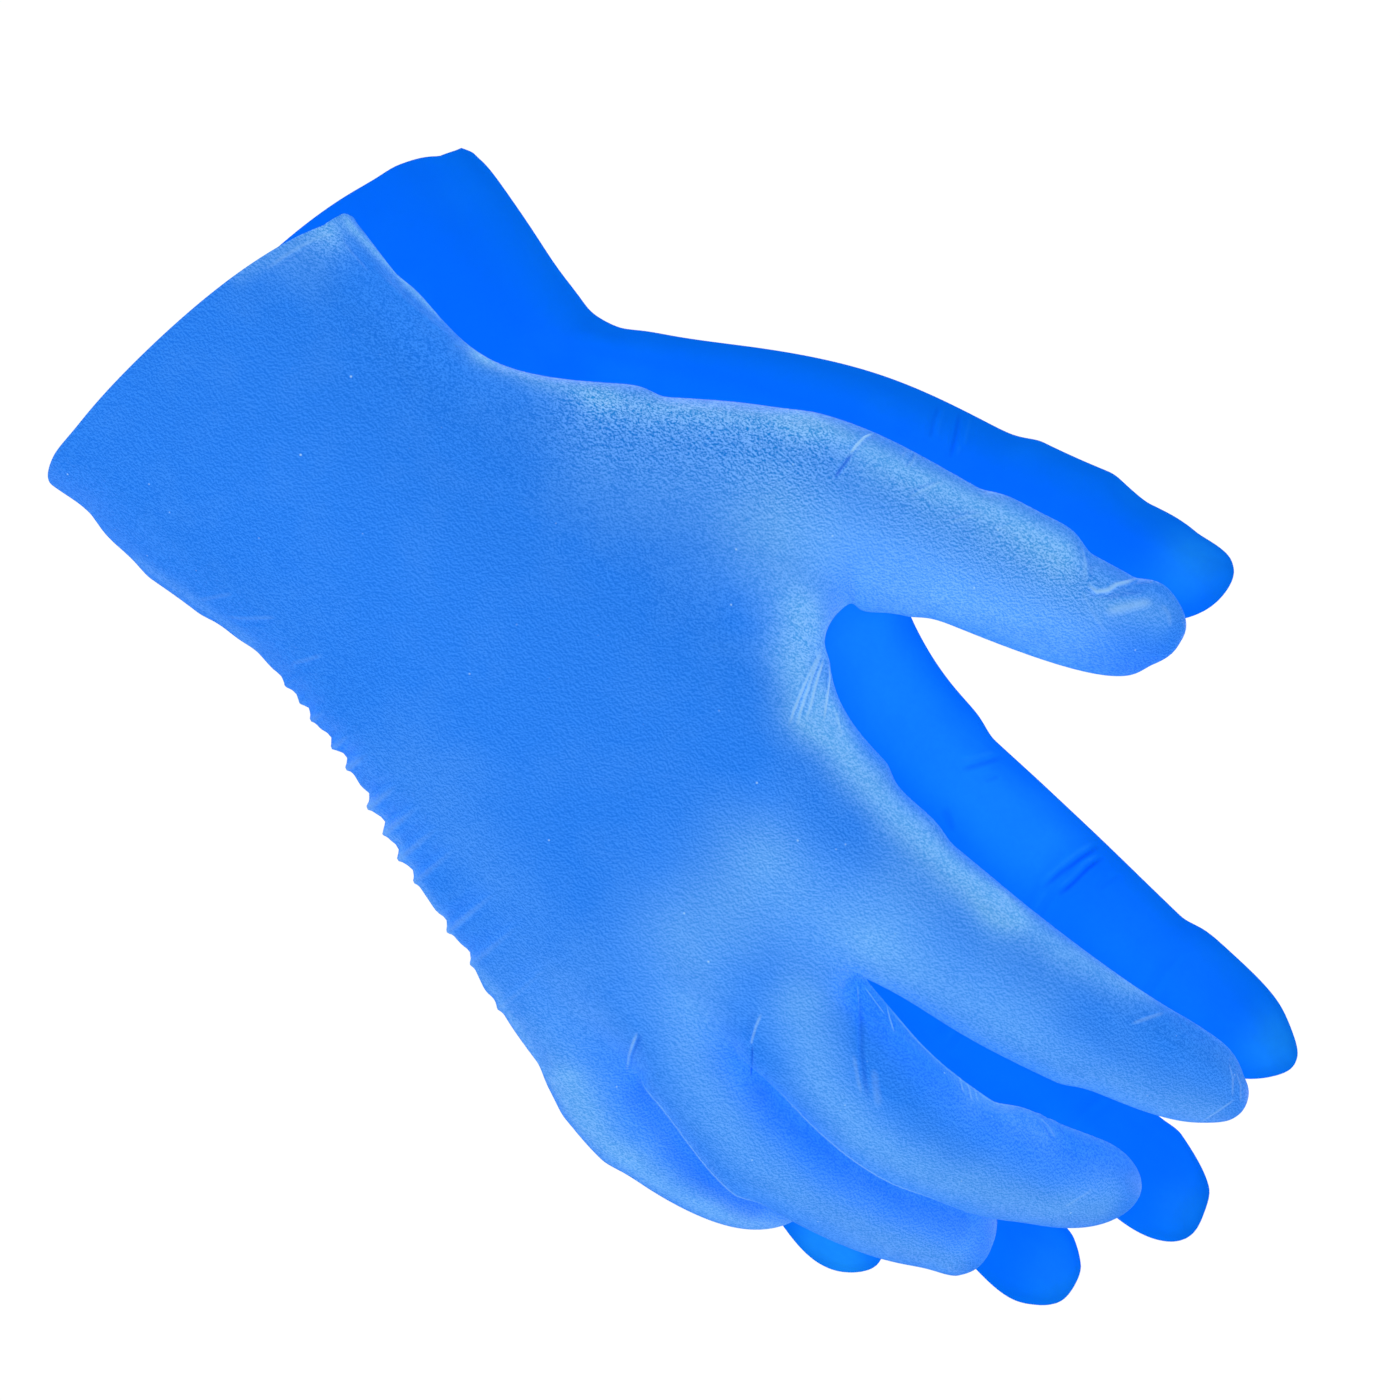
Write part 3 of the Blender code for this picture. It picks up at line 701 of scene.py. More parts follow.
right_folds, left_folds = [], []
print("one pixel of the picture is", METRES_PER_PIXEL * 1000, "mm")

# %% [markdown]
# ## Folds of the outer edge
# Along the little-finger edge of the right hand the loose film gathers into a row of small scallops that
# lean towards the fingers: a soft swelling, then a sharp step in. They wrap round the edge, so they are
# drawn round the hand itself: a ray leaves the hand's middle at each angle of a short sweep.

# %% Scallops on the right outer edge
def round_hand(skin, sweep, place=Matrix()):
    """Points where rays from the hand's middle meet the skin, for (x, angle); 180 is the outer edge."""
    found = []
    for x, angle in sweep:
        start = place @ Vector((x, 0, PALM_RISE))
        ray = place.to_3x3() @ Vector((0, -sin(radians(angle)), cos(radians(angle))))
        hit = skin.tree.ray_cast(start, ray)[0]
        if hit is not None:
            found.append(hit[:])
    return np.array(found)


# The swelling and the step in: shift along X, width and groove
SCALLOP_FOLDS = (-0.0014, 0.0014, 0.00075), (0.0005, 0.0007, -0.00065)
SCALLOP_LEAN, SCALLOP_SWEEP, SCALLOP_TONE = 0.00006, (212, 150), 0.25
SCALLOPS = (
    (0.0531, 0.5), (0.0571, 0.6), (0.0605, 0.9), (0.0666, 1.0), (0.0710, 1.2), (0.0786, 1.3),
    (0.0838, 1.2), (0.0888, 1.1), (0.0936, 0.9), (0.1039, 1.0), (0.1109, 0.8), (0.1198, 0.6),
)
for x, deep in SCALLOPS:
    for shift, width, groove in SCALLOP_FOLDS:
        angles = np.linspace(*SCALLOP_SWEEP, 80)
        sweep = [(x + shift + (180 - angle) * SCALLOP_LEAN, angle) for angle in angles]
        right_folds.append(Fold(round_hand(right_skin, sweep), width, deep * groove, tone=SCALLOP_TONE))
print(len(SCALLOPS), "scallops")

# %% [markdown]
# ## Folds that show on the right glove
# The thumb's knuckle and web, the finger roots and the fingertips carry fine folds, each a short list of
# picture points. Left and right are meant along the line, from its first point to its last.

# %% Folds on the right thumb
RIGHT_THUMB_FOLDS = (
    Fold([(875, 433), (864, 438), (856, 446), (849, 455)], 0.00026, -0.00034, -0.00010, -0.00010, 1.0),
    Fold([(853, 452), (846, 462), (840, 470), (834, 479)], 0.00034, 0.00030, 0.00006, 0.0, 0.9),
    Fold([(906, 446), (899, 456)], 0.00030, 0.00012, 0.00012, 0.0, 0.7),
    Fold([(916, 450), (905, 468)], 0.00030, 0.00014, 0.00014, 0.0, 0.7),
    Fold([(941, 480), (922, 487), (906, 495)], 0.00035, 0.00014, 0.00016, 0.0, 0.7),
    Fold([(985, 511), (967, 513), (944, 520)], 0.00040, 0.00012, 0.00016, 0.0, 0.7),
    Fold([(1013, 520), (1003, 524), (990, 527)], 0.00040, 0.00008, 0.00012, 0.0, 0.7),
    Fold([(1084, 549), (1090, 566), (1091, 582)], 0.00060, 0.00016, 0.0, 0.00016),
    Fold(
        [(1086, 584), (1096, 592), (1107, 591), (1116, 585), (1126, 583), (1141, 578)],
        0.00040, -0.00036, 0.0, -0.00014, 0.9,
    ),
    Fold([(1104, 600), (1122, 594), (1146, 590)], 0.00060, 0.00030, 0.0, 0.0, 0.7),
    Fold([(1103, 613), (1128, 607), (1154, 601)], 0.00090, -0.00032, 0.0, 0.0, 1.3),
    Fold([(1160, 603), (1168, 614), (1170, 628)], 0.00060, -0.00012),
    Fold([(1079, 585), (1091, 610), (1108, 637)], 0.00030, -0.00007),
)
right_folds += draw(right_skin, RIGHT_THUMB_FOLDS)
print(len(RIGHT_THUMB_FOLDS), "thumb folds")

# %% Folds in the web between the right thumb and index finger
RIGHT_WEB_FOLDS = (
    [(823, 646), (811, 670), (801, 692), (794, 710), (788, 728)],
    [(823, 650), (812, 675), (806, 694), (800, 712), (797, 728)],
    [(824, 656), (816, 682), (811, 702), (806, 722)],
    [(828, 662), (829, 680), (826, 702), (823, 724)],
    [(834, 708), (839, 724), (842, 740)],
)
WEB_FOLD_WIDTH, WEB_RIDGE, WEB_LIP, LAST_WEB_SHARE = 0.00024, -0.00024, -0.00006, 0.5
for line in RIGHT_WEB_FOLDS:
    ridge = WEB_RIDGE * (LAST_WEB_SHARE if line == RIGHT_WEB_FOLDS[-1] else 1.0)
    right_folds.append(Fold(on_skin(right_skin, line), WEB_FOLD_WIDTH, ridge, WEB_LIP, WEB_LIP, 0.9))
print(len(RIGHT_WEB_FOLDS), "web folds")

# %% Folds at the right finger roots and fingertips
RIGHT_FINGER_FOLDS = (
    Fold([(641, 1032), (636, 1045), (632, 1057), (630, 1072)], 0.00030, 0.00020, 0.0, 0.00018),
    Fold([(642, 1036), (639, 1048), (637, 1060)], 0.00080, 0.00016, tone=0.7),
    Fold([(762, 1012), (756, 1026), (752, 1040), (751, 1052)], 0.00024, -0.00013),
    Fold([(755, 1004), (750, 1024), (747, 1044)], 0.00070, 0.00016, tone=0.7),
    Fold([(752, 1042), (752, 1058), (751, 1077)], 0.00024, 0.00026),
    Fold([(857, 985), (858, 998), (859, 1014)], 0.00024, -0.00010),
    Fold([(859, 990), (861, 1020), (862, 1050), (865, 1080), (870, 1104)], 0.00050, 0.00028, tone=0.85),
    Fold([(853, 1052), (857, 1074), (862, 1096)], 0.00040, -0.00012, tone=0.8),
    Fold([(873, 1066), (876, 1090), (879, 1110)], 0.00080, -0.00020, tone=0.8),
    Fold([(863, 986), (874, 1001), (886, 1017)], 0.00024, -0.00013, -0.00005, -0.00005),
    Fold([(886, 1005), (889, 1018), (894, 1034)], 0.00024, -0.00013, -0.00005, -0.00005),
    Fold([(953, 1069), (960, 1081), (963, 1094)], 0.00030, -0.00014, 0.0, -0.00008),
    Fold([(964, 1079), (969, 1090), (971, 1102)], 0.00030, -0.00015, 0.0, -0.00008),
    Fold([(971, 1084), (975, 1092), (977, 1102)], 0.00030, -0.00013, 0.0, -0.00006),
    Fold([(1036, 1117), (1046, 1128), (1053, 1141)], 0.00050, 0.00020, 0.00014),
    Fold([(1062, 1208), (1078, 1198), (1094, 1188)], 0.00030, -0.00009),
    Fold([(1130, 1024), (1147, 1018), (1166, 1012)], 0.00040, -0.00012, -0.00006),
    Fold([(1228, 1062), (1232, 1078), (1232, 1098)], 0.00030, -0.00009),
    Fold([(1235, 1070), (1240, 1086), (1240, 1104)], 0.00030, -0.00009),
    Fold([(1199, 1122), (1214, 1113), (1236, 1098)], 0.00030, -0.00012, 0.0, -0.00006),
)
right_folds += draw(right_skin, RIGHT_FINGER_FOLDS)
print(len(RIGHT_FINGER_FOLDS), "finger folds")

# %% Painted highlights along the edges of the right middle and ring fingers
EDGE_SEARCH, EDGE_JUMP, EDGE_INSIDE = 16, 0.0015, 1.5


def edge_of(skin, line, way):
    """Points just inside a finger's edge: from the line a search goes across it until the depth jumps."""
    found = []
    for (u0, v0), (u1, v1) in zip(line, line[1:]):
        for part in np.arange(0, 1, 0.1):
            u, v, last = u0 + (u1 - u0) * part, v0 + (v1 - v0) * part, None
            for shift in np.arange(-EDGE_SEARCH, EDGE_SEARCH, 0.5):
                far = skin.tree.ray_cast(eye, sight(u + way[0] * shift, v + way[1] * shift))[3]
                if last is not None and (far is None or far - last > EDGE_JUMP):
                    back = shift - EDGE_INSIDE
                    hit = skin.tree.ray_cast(eye, sight(u + way[0] * back, v + way[1] * back))[0]
                    found.append(hit[:])
                    break
                last = far
    return np.array(found)


RIGHT_EDGES = (
    [(640, 1072), (652, 1094), (672, 1122), (692, 1148), (712, 1170), (732, 1186), (756, 1199), (784, 1214)],
    [
        (770, 1086), (790, 1106), (810, 1126), (832, 1145), (850, 1161), (870, 1174), (895, 1187),
        (925, 1200), (980, 1217),
    ],
)
# Each edge line is a low ridge whose strong tone puts a painted highlight along the finger's edge.
for line in RIGHT_EDGES:
    right_folds.append(Fold(edge_of(right_skin, line, (-0.7, 0.7)), 0.00030, -0.00012, tone=1.6))
upper_edge = [(880, 1003), (905, 1026), (935, 1055), (970, 1082), (1010, 1103), (1050, 1122)]
right_folds.append(Fold(edge_of(right_skin, upper_edge, (0.7, -0.7)), 0.00055, -0.00010, tone=2.0))
print("bright edges of", [len(fold.line) for fold in right_folds[-3:]], "points")

# %% Folds on the right cuff
RIGHT_CUFF_FOLDS = (
    Fold([(262, 272), (290, 253), (318, 238), (342, 232)], 0.00045, -0.00016, 0.0, -0.00010, 0.7),
    Fold([(341, 236), (352, 250), (372, 272)], 0.00045, 0.00016, 0.0, 0.00010, 0.7),
    Fold([(372, 268), (410, 304), (452, 340)], 0.00110, -0.00025, 0.0, 0.0, 0.4),
    Fold([(196, 600), (214, 597), (236, 592)], 0.00060, -0.00016, 0.0, 0.0, 0.5),
    Fold([(222, 616), (244, 618), (280, 617)], 0.00060, -0.00018, 0.0, -0.00010, 0.5),
    Fold([(288, 664), (306, 660), (326, 654)], 0.00060, -0.00018, 0.0, -0.00010, 0.5),
)
right_folds += draw(right_skin, RIGHT_CUFF_FOLDS)
print(len(RIGHT_CUFF_FOLDS), "cuff folds")

# %% [markdown]
# ## Folds that show on the left glove
# The left glove is fuller and smoother. It shows two folds on its thumb, and on the index finger a soft
# dent, a dimple and a strong pair of folds where the finger leaves the palm.

# %% Folds on the left glove
LEFT_FOLDS = (
    Fold([(940, 402), (934, 420), (930, 441)], 0.00060, 0.00016, 0.00008, 0.0, 0.8),
    Fold([(960, 408), (956, 432), (950, 460)], 0.00060, 0.00024, 0.00012, 0.00006, 0.8),
    Fold([(966, 412), (962, 432), (959, 448)], 0.00050, 0.00014, 0.00008, 0.0, 0.8),
    Fold([(960, 770), (980, 764), (1003, 756)], 0.00080, 0.00030, 0.00020, 0.0, 0.8),
    Fold([(984, 782), (1000, 776)], 0.00070, 0.00020, 0.00010, 0.0, 0.6),
    Fold([(944, 806), (948, 820), (954, 834)], 0.00120, 0.00040, 0.0, 0.0, 0.6),
    Fold([(1042, 890), (1060, 873), (1078, 860), (1101, 844)], 0.00060, 0.00036, 0.00022, 0.0, 0.9),
    Fold([(1058, 896), (1074, 882), (1088, 868), (1104, 856)], 0.00055, 0.00036, 0.00022, 0.0, 0.9),
    Fold([(1098, 892), (1112, 880), (1122, 872)], 0.00080, 0.00020, 0.00010, 0.0, 0.5),
)
left_folds += draw(left_skin, LEFT_FOLDS)
print(len(LEFT_FOLDS), "left folds")

# %% [markdown]
# ## Folds on the palm sides
# Where a finger bends, the film on its palm side has too much length and folds across the joint. These
# sides are turned away from the camera on the right glove, but the part is looked at from all sides. Rays
# from the joint's middle towards the palm side find the line on the skin; three lines lie on each finger.

# %% Folds inside the bent joints
JOINT_FOLD_WIDTH, JOINT_GROOVE, JOINT_LIP = 0.0009, 0.0006, 0.0003
JOINT_SWEEP, JOINT_PAIR = 52, 0.0016
LEFT_SHARE = 0.35


def under_joint(skin, joint, shift, place=Matrix()):
    """A line across the palm side of a finger, at a joint of its chain moved by shift along the bone."""
    centre, along, across, back = joint
    found = []
    for angle in np.linspace(-JOINT_SWEEP, JOINT_SWEEP, 40):
        ray = place.to_3x3() @ (across * sin(radians(angle)) - back * cos(radians(angle)))
        hit = skin.tree.ray_cast(place @ (centre + along * shift), ray)[0]
        if hit is not None:
            found.append(hit[:])
    return np.array(found)


for chains, skin, folds, place, deep in (
    (right_chains, right_skin, right_folds, Matrix(), 1.0),
    (left_chains, left_skin, left_folds, left_place, LEFT_SHARE),
):
    for chain in chains:
        for joint, shift in ((chain[3], -JOINT_PAIR), (chain[3], JOINT_PAIR), (chain[4], 0.0)):
            line = under_joint(skin, joint, shift, place)
            lip = deep * JOINT_LIP
            folds.append(Fold(line, JOINT_FOLD_WIDTH, deep * JOINT_GROOVE, lip, lip, 0.5))
print("joint folds on", len(right_chains) + len(left_chains), "fingers")

# %% Folds across the two palms
PALM_FOLD_WIDTH, PALM_GROOVE, PALM_LIP = 0.0016, 0.0006, 0.0003
PALM_FOLDS = (
    ((0.104, -158), (0.108, -120), (0.112, -85), (0.118, -60)),
    ((0.088, -150), (0.096, -115), (0.104, -80), (0.112, -52)),
    ((0.052, -95), (0.066, -84), (0.084, -70), (0.100, -48)),
)
for skin, folds, place in ((right_skin, right_folds, Matrix()), (left_skin, left_folds, left_place)):
    for fold in PALM_FOLDS:
        parts = np.linspace(0, len(fold) - 1, 120)
        xs = np.interp(parts, range(len(fold)), [x for x, angle in fold])
        angles = np.interp(parts, range(len(fold)), [angle for x, angle in fold])
        line = round_hand(skin, list(zip(xs, angles)), place)
        folds.append(Fold(line, PALM_FOLD_WIDTH, PALM_GROOVE, PALM_LIP, PALM_LIP, 0.5))
print(len(right_folds), "folds on the right glove,", len(left_folds), "on the left one")

# %% [markdown]
# ## Pressing the folds in
# A fold a third of a millimetre wide needs points closer than that, so the skin is cut finer near the
# lines and nowhere else. Then every fold is pressed: for each point near a line, the distance beside the
# line gives the groove and its lips, and the share of the line's length gives the fade at its ends. Two
# sums are kept for each point: how far it lifts, and its painted shading, above 0 for painted highlight
# on a lip and below 0 for painted shade in a groove.

# %% Cut the skins finer near their folds
def cut_near(skin, folds):
    widths = np.concatenate([[fold.width] * len(fold.line) for fold in folds])
    finder = KDTree(len(widths))
    for number, point in enumerate(np.concatenate([fold.line for fold in folds])):
        finder.insert(point, number)
    finder.balance()

    def wanted(middles, lengths):
        picked = np.zeros(len(middles), bool)
        for number in np.nonzero(lengths > widths.min())[0]:
            place, nearest, gap = finder.find(middles[number])
            width = widths[nearest]
            picked[number] = gap < 3 * width + lengths[number] / 2 and lengths[number] > width
        return picked

    for turn in range(3):
        skin = cut_edges(skin, wanted)
    return with_tree(skin.points, skin.normals, skin.triangles)


right_skin = cut_near(right_skin, right_folds)
left_skin = cut_near(left_skin, left_folds)
print("cut to", len(right_skin.points), "and", len(left_skin.points), "points")

# %% Press the folds
REACH_WIDTHS, LIP_AT = 4, 1.8
FADE_SHARE, FADE_POWER = 0.2, 0.8


def in_box(skin, line, margin):
    """Numbers of the skin's points in the line's box, widened by the margin."""
    low, high = line.min(0) - margin, line.max(0) + margin
    return np.nonzero(np.all((skin.points > low) & (skin.points < high), axis=1))[0]


def press(skin, folds):
    """How far each point of the skin lifts, and its painted highlight and shade."""
    lift, painted_shading = np.zeros(len(skin.points)), np.zeros(len(skin.points))
    for line, width, groove, left, right, tone in folds:
        reach = width * REACH_WIDTHS
        ids = in_box(skin, line, reach)
        gaps = skin.points[ids][:, None, :] - line[None, :, :]
        far = np.linalg.norm(gaps, axis=2)
        nearest = far.argmin(1)
        keep = far.min(1) < reach
        ids, nearest, gaps = ids[keep], nearest[keep], gaps[keep]
        away = gaps[np.arange(len(ids)), nearest]
        along = unit(np.gradient(line, axis=0))[nearest]
        beside = np.sum(away * np.cross(skin.normals[ids], along), 1) / width
        beyond = np.sum(away * along, 1) / width
        share = nearest / (len(line) - 1)
        fade = np.clip(np.minimum(share, 1 - share) / FADE_SHARE, 0, 1) ** FADE_POWER
        strength = fade * np.exp(-beyond ** 2)
        shape = left * np.exp(-(beside - LIP_AT) ** 2) + right * np.exp(-(beside + LIP_AT) ** 2)
        shape = strength * (shape - groove * np.exp(-beside ** 2))
        lift[ids] += shape
        painted_shading[ids] += tone * shape / width
    return lift, painted_shading


right_lift, right_painted_shading = press(right_skin, right_folds)
left_lift, left_painted_shading = press(left_skin, left_folds)
print(f"right painted_shading_values from {right_painted_shading.min():.2f} to {right_painted_shading.max():.2f}")

# %% [markdown]
# ## Stretch and painted light
# Nitrile turns paler under stretch. On the right glove that shows over the knuckles, along the fingers,
# at the web and along the thumb, and least on the loose cuff. The same bands also paint light: painted
# highlights along the upper edges of the cuff, thumb and index finger and along the outer edge, and
# painted shade beside the middle finger's root. Soft bands are laid on the skin along picture lines,
# with a radius in pixels and a strength, and their sum is kept for every point of the skin.

# %% Pale bands
def bands(skin, places):
    total = np.zeros(len(skin.points))
    for line, radius, strength in places:
        middle_line = on_skin(skin, line if len(line) > 1 else line * 2, step=5.0)
        if len(middle_line) == 0:
            print("a band missed the skin at", line[0])
            continue
        wide = radius * METRES_PER_PIXEL
        ids = in_box(skin, middle_line, 3 * wide)
        gaps = np.full(len(ids), np.inf)
        for point in middle_line:
            gaps = np.minimum(gaps, np.sum((skin.points[ids] - point) ** 2, 1))
        total[ids] += strength * np.exp(-gaps / wide ** 2)
    return total


# Besides stretch, these bands hold painted highlights along the cuff's, thumb's and index finger's upper
# edges and along the outer edge; the band with a negative strength is painted shade beside the middle
# finger's root.
right_stretch_and_painted_light = bands(right_skin, (
    ([(330, 236)], 22, 0.60), ([(300, 262)], 34, 0.25), ([(240, 272), (300, 240), (344, 219)], 12, 0.35),
    ([(352, 228), (410, 288), (482, 357)], 15, 0.85), ([(482, 362), (540, 382), (600, 394)], 18, 0.50),
    ([(600, 400), (700, 412), (800, 422)], 26, 0.55), ([(600, 440)], 80, 0.18), ([(710, 455)], 100, 0.35),
    ([(790, 530), (900, 560), (1000, 595), (1060, 620)], 70, 0.66),
    ([(870, 590), (940, 600), (1010, 622)], 24, 0.20),
    ([(806, 424), (840, 434), (880, 458), (930, 482), (1000, 516), (1060, 550)], 28, 0.75),
    ([(1116, 600), (1160, 614)], 20, 0.35),
    ([(806, 622), (798, 660), (812, 706)], 36, 0.95),
    ([(824, 722), (852, 764), (900, 818), (960, 874), (1000, 906)], 26, 0.92),
    ([(1000, 906), (1060, 948), (1120, 982), (1180, 1006), (1215, 1036)], 24, 0.62),
    ([(900, 900), (960, 950), (1030, 1000)], 40, 0.25),
    ([(690, 940), (760, 890), (840, 930)], 70, 0.52), ([(765, 850)], 45, 0.28),
    ([(880, 950), (960, 1004), (1050, 1054), (1130, 1094), (1200, 1114)], 36, 0.42),
    ([(690, 1010), (700, 1080), (740, 1146), (800, 1196), (880, 1236), (950, 1258)], 34, 0.45),
    ([(800, 1010), (822, 1084), (862, 1136), (930, 1176), (1040, 1206), (1100, 1204)], 34, 0.55),
    ([(568, 1080), (602, 1142), (660, 1186), (720, 1216), (768, 1228)], 24, 0.65), ([(640, 1140)], 50, 0.20),
    ([(560, 1010)], 90, 0.30), ([(874, 1010), (880, 1040), (896, 1066)], 22, -0.45),
    ([(970, 1094), (1040, 1128)], 26, 0.30), ([(650, 1160), (720, 1206)], 24, 0.10),
    ([(560, 1060), (600, 1100)], 40, 0.15),
    ([(250, 646), (300, 702), (370, 802), (440, 916), (510, 1016), (580, 1128)], 12, 0.30),
    ([(140, 562), (250, 640)], 12, 0.22), ([(420, 770), (480, 860)], 60, 0.15),
))
# Painted shade between the fingers: these bands darken the colour below the middle and ring fingers' edges,
# at the middle finger's root and at two finger roots.
right_painted_shading -= bands(right_skin, (
    ([(768, 1098), (800, 1130), (850, 1172), (910, 1206), (960, 1224)], 22, 0.30),
    ([(646, 1098), (676, 1142), (712, 1182), (756, 1208)], 20, 0.30), ([(872, 1006), (880, 1030)], 18, 0.16),
    ([(756, 1086)], 18, 0.20), ([(636, 1086)], 18, 0.20),
))
# On the left glove these bands are painted highlights at the fingertips and the thumb's tip, and painted
# light on the index finger.
left_stretch_and_painted_light = bands(left_skin, (
    ([(862, 640), (900, 700), (950, 760), (1040, 842)], 46, 0.72), ([(820, 1240), (846, 1258)], 30, 1.05),
    ([(1110, 910), (1190, 980)], 50, 0.25), ([(1272, 1045)], 34, 0.80), ([(1180, 1205)], 30, 0.35),
    ([(1190, 565)], 34, 0.85), ([(1050, 1275)], 36, 0.40),
))
print(f"right film paled by {right_stretch_and_painted_light.mean():.2f} on the whole, left by {left_stretch_and_painted_light.mean():.2f}")

# %% Coarser grain at the base of the right thumb
right_grain = bands(right_skin, (
    ([(600, 415), (700, 430), (800, 455)], 55, 1.0), ([(900, 500), (1000, 545), (1080, 580)], 34, 0.55),
    ([(420, 340)], 50, 0.25), ([(330, 240)], 26, 0.40), ([(805, 640)], 40, 0.35), ([(800, 860)], 70, 0.15),
))
print(f"coarse grain on {np.mean(right_grain > 0.5):.0%} of the right film")

# %% [markdown]
# ## Film and bead
# The folded skin becomes a film with two sides: each point is copied outwards and inwards by half the
# thickness, and a strip of faces closes the cuff's edge. Near the edge the film is rolled inwards, so
# the bead swells on the inside and hardly shows outside.

# %% Make a film of a skin
BEAD_BAND, BEAD_OUTSIDE = 0.0028, 0.03


def rim_of(triangles):
    """The edges that only one triangle uses, in that triangle's direction."""
    uses = {(a, b) for corners in triangles.tolist() for a, b in zip(corners, corners[1:] + corners[:1])}
    return [(a, b) for a, b in sorted(uses) if (b, a) not in uses]


def film(name, skin, lift, attributes):
    points = skin.points + skin.normals * lift[:, None]
    normals = normals_of(points, skin.triangles)
    rim = rim_of(skin.triangles)
    finder = KDTree(len(rim))
    for number, (a, b) in enumerate(rim):
        finder.insert(points[a], number)
    finder.balance()
    from_rim = np.array([finder.find(point)[2] for point in points])
    swell = BEAD * np.sqrt(np.clip(1 - (2 * from_rim / BEAD_BAND - 1) ** 2, 0, None))
    outer = points + normals * np.maximum(swell * BEAD_OUTSIDE, FILM / 2)[:, None]
    inner = points - normals * np.maximum(swell * (1 - BEAD_OUTSIDE), FILM / 2)[:, None]
    count = len(points)
    faces = skin.triangles.tolist() + (skin.triangles[:, ::-1] + count).tolist()
    faces += [(b, a, a + count, b + count) for a, b in rim]
    mesh = bpy.data.meshes.new(name)
    mesh.from_pydata(np.concatenate((outer, inner)).tolist(), [], faces)
    mesh.polygons.foreach_set("use_smooth", [True] * len(mesh.polygons))
    for key, values in attributes.items():
        layer = mesh.attributes.new(key, "FLOAT", "POINT")
        layer.data.foreach_set("value", np.concatenate((values, values)).astype(np.float32))
    made = bpy.data.objects.new(name, mesh)
    bpy.context.scene.collection.objects.link(made)
    print(name, len(mesh.polygons), "faces,", len(rim), "round the bead")
    return made


right_marks = {"stretch_and_painted_light": right_stretch_and_painted_light, "painted_shading": right_painted_shading, "grain": right_grain}
right_film = film("right_film", right_skin, right_lift, right_marks)
left_film = film("left_film", left_skin, left_lift, {"stretch_and_painted_light": left_stretch_and_painted_light, "painted_shading": left_painted_shading})

# %% [markdown]
# ## Nitrile
# The right glove's film has a fine pebble grain, less than a millimetre across, coarser at the thumb's
# base. Its colour holds painted relief shading, each pebble lighter on one side and darker on the other,
# and a few painted glints, with almost no other shine in this even light. The left one is smooth and a
# deeper blue. Both are made of noise in the object's own coordinates, so the grain stays on the film when
# the glove moves. Stretch and painted light pale the blue, painted shade darkens the grooves and painted
# highlight lightens the lips.

# %% Tools for materials
def new_material(name):
    material = bpy.data.materials.new(name)
    material.use_nodes = True
    tree = material.node_tree
    return material, tree, tree.nodes["Principled BSDF"]


def add(tree, kind, inputs=None, **settings):
    node = tree.nodes.new(kind)
    for key, value in settings.items():
        setattr(node, key, value)
    for key, value in (inputs or {}).items():
        if isinstance(value, bpy.types.NodeSocket):
            tree.links.new(value, node.inputs[key])
        else:
            node.inputs[key].default_value = value
    return node


def blend(tree, share, low, high, kind="MIX"):
    """Colour between low and high by share, or the two put together in another way."""
    inputs = {0: share, 6: low, 7: high}
    return add(tree, "ShaderNodeMix", inputs, data_type="RGBA", blend_type=kind).outputs[2]


def ramp(tree, value, low, high, bottom=0.0, top=1.0):
    return add(tree, "ShaderNodeMapRange", {0: value, 1: low, 2: high, 3: bottom, 4: top}).outputs[0]


def sums(tree, first, second, kind="ADD"):
    return add(tree, "ShaderNodeMath", {0: first, 1: second}, operation=kind).outputs[0]


def noise(tree, where, scale, detail=2.0):
    return add(tree, "ShaderNodeTexNoise", {"Vector": where, "Scale": scale, "Detail": detail}).outputs["Fac"]


def mark(tree, name):
    return add(tree, "ShaderNodeAttribute", attribute_name=name).outputs["Fac"]


print("material tools ready")

# %% Grained nitrile of the right glove
DEEP_BLUE, PALE_BLUE = (0.0225, 0.217, 0.895, 1.0), (0.141, 0.426, 0.920, 1.0)
PAINTED_HIGHLIGHT_BLUE, PAINTED_SHADE_BLUE = (0.310, 0.580, 0.950, 1.0), (0.004, 0.100, 0.660, 1.0)
PIT_PAINTED_SHADE, PEBBLE_PAINTED_HIGHLIGHT = (0.05, 0.60, 0.82, 1.0), (2.20, 1.42, 1.12, 1.0)
PAINTED_GLINT_BLUE = (0.32, 0.58, 0.95, 1.0)
GRAIN_SCALE, GRAIN_STEP = 2300.0, (-0.00006, 0.00002, 0.00014)
material, tree, shader = new_material("grained_nitrile")
where = add(tree, "ShaderNodeTexCoord").outputs["Object"]
coarse = ramp(tree, mark(tree, "grain"), 0.0, 1.0)
beside = add(tree, "ShaderNodeVectorMath", {0: where, 1: GRAIN_STEP}, operation="ADD").outputs[0]
# Painted relief shading of the grain: the difference of two offset noises makes each pebble lighter on one
# side and darker on the other, most strongly where the grain is coarse.
slope = sums(tree, noise(tree, where, GRAIN_SCALE), noise(tree, beside, GRAIN_SCALE), "SUBTRACT")
pebbles = ramp(tree, slope, -0.09, 0.09)
cloud = ramp(tree, noise(tree, where, 90.0), 0.3, 0.7, -0.05, 0.05)
share = sums(tree, mark(tree, "stretch_and_painted_light"), cloud)
colour = blend(tree, ramp(tree, share, 0.0, 1.3, 0.0, 1.3), DEEP_BLUE, PALE_BLUE)
painted_relief = blend(tree, pebbles, PIT_PAINTED_SHADE, PEBBLE_PAINTED_HIGHLIGHT)
strong = ramp(tree, coarse, 0.0, 1.0, 0.45, 1.0)
colour = blend(tree, strong, colour, painted_relief, "MULTIPLY")
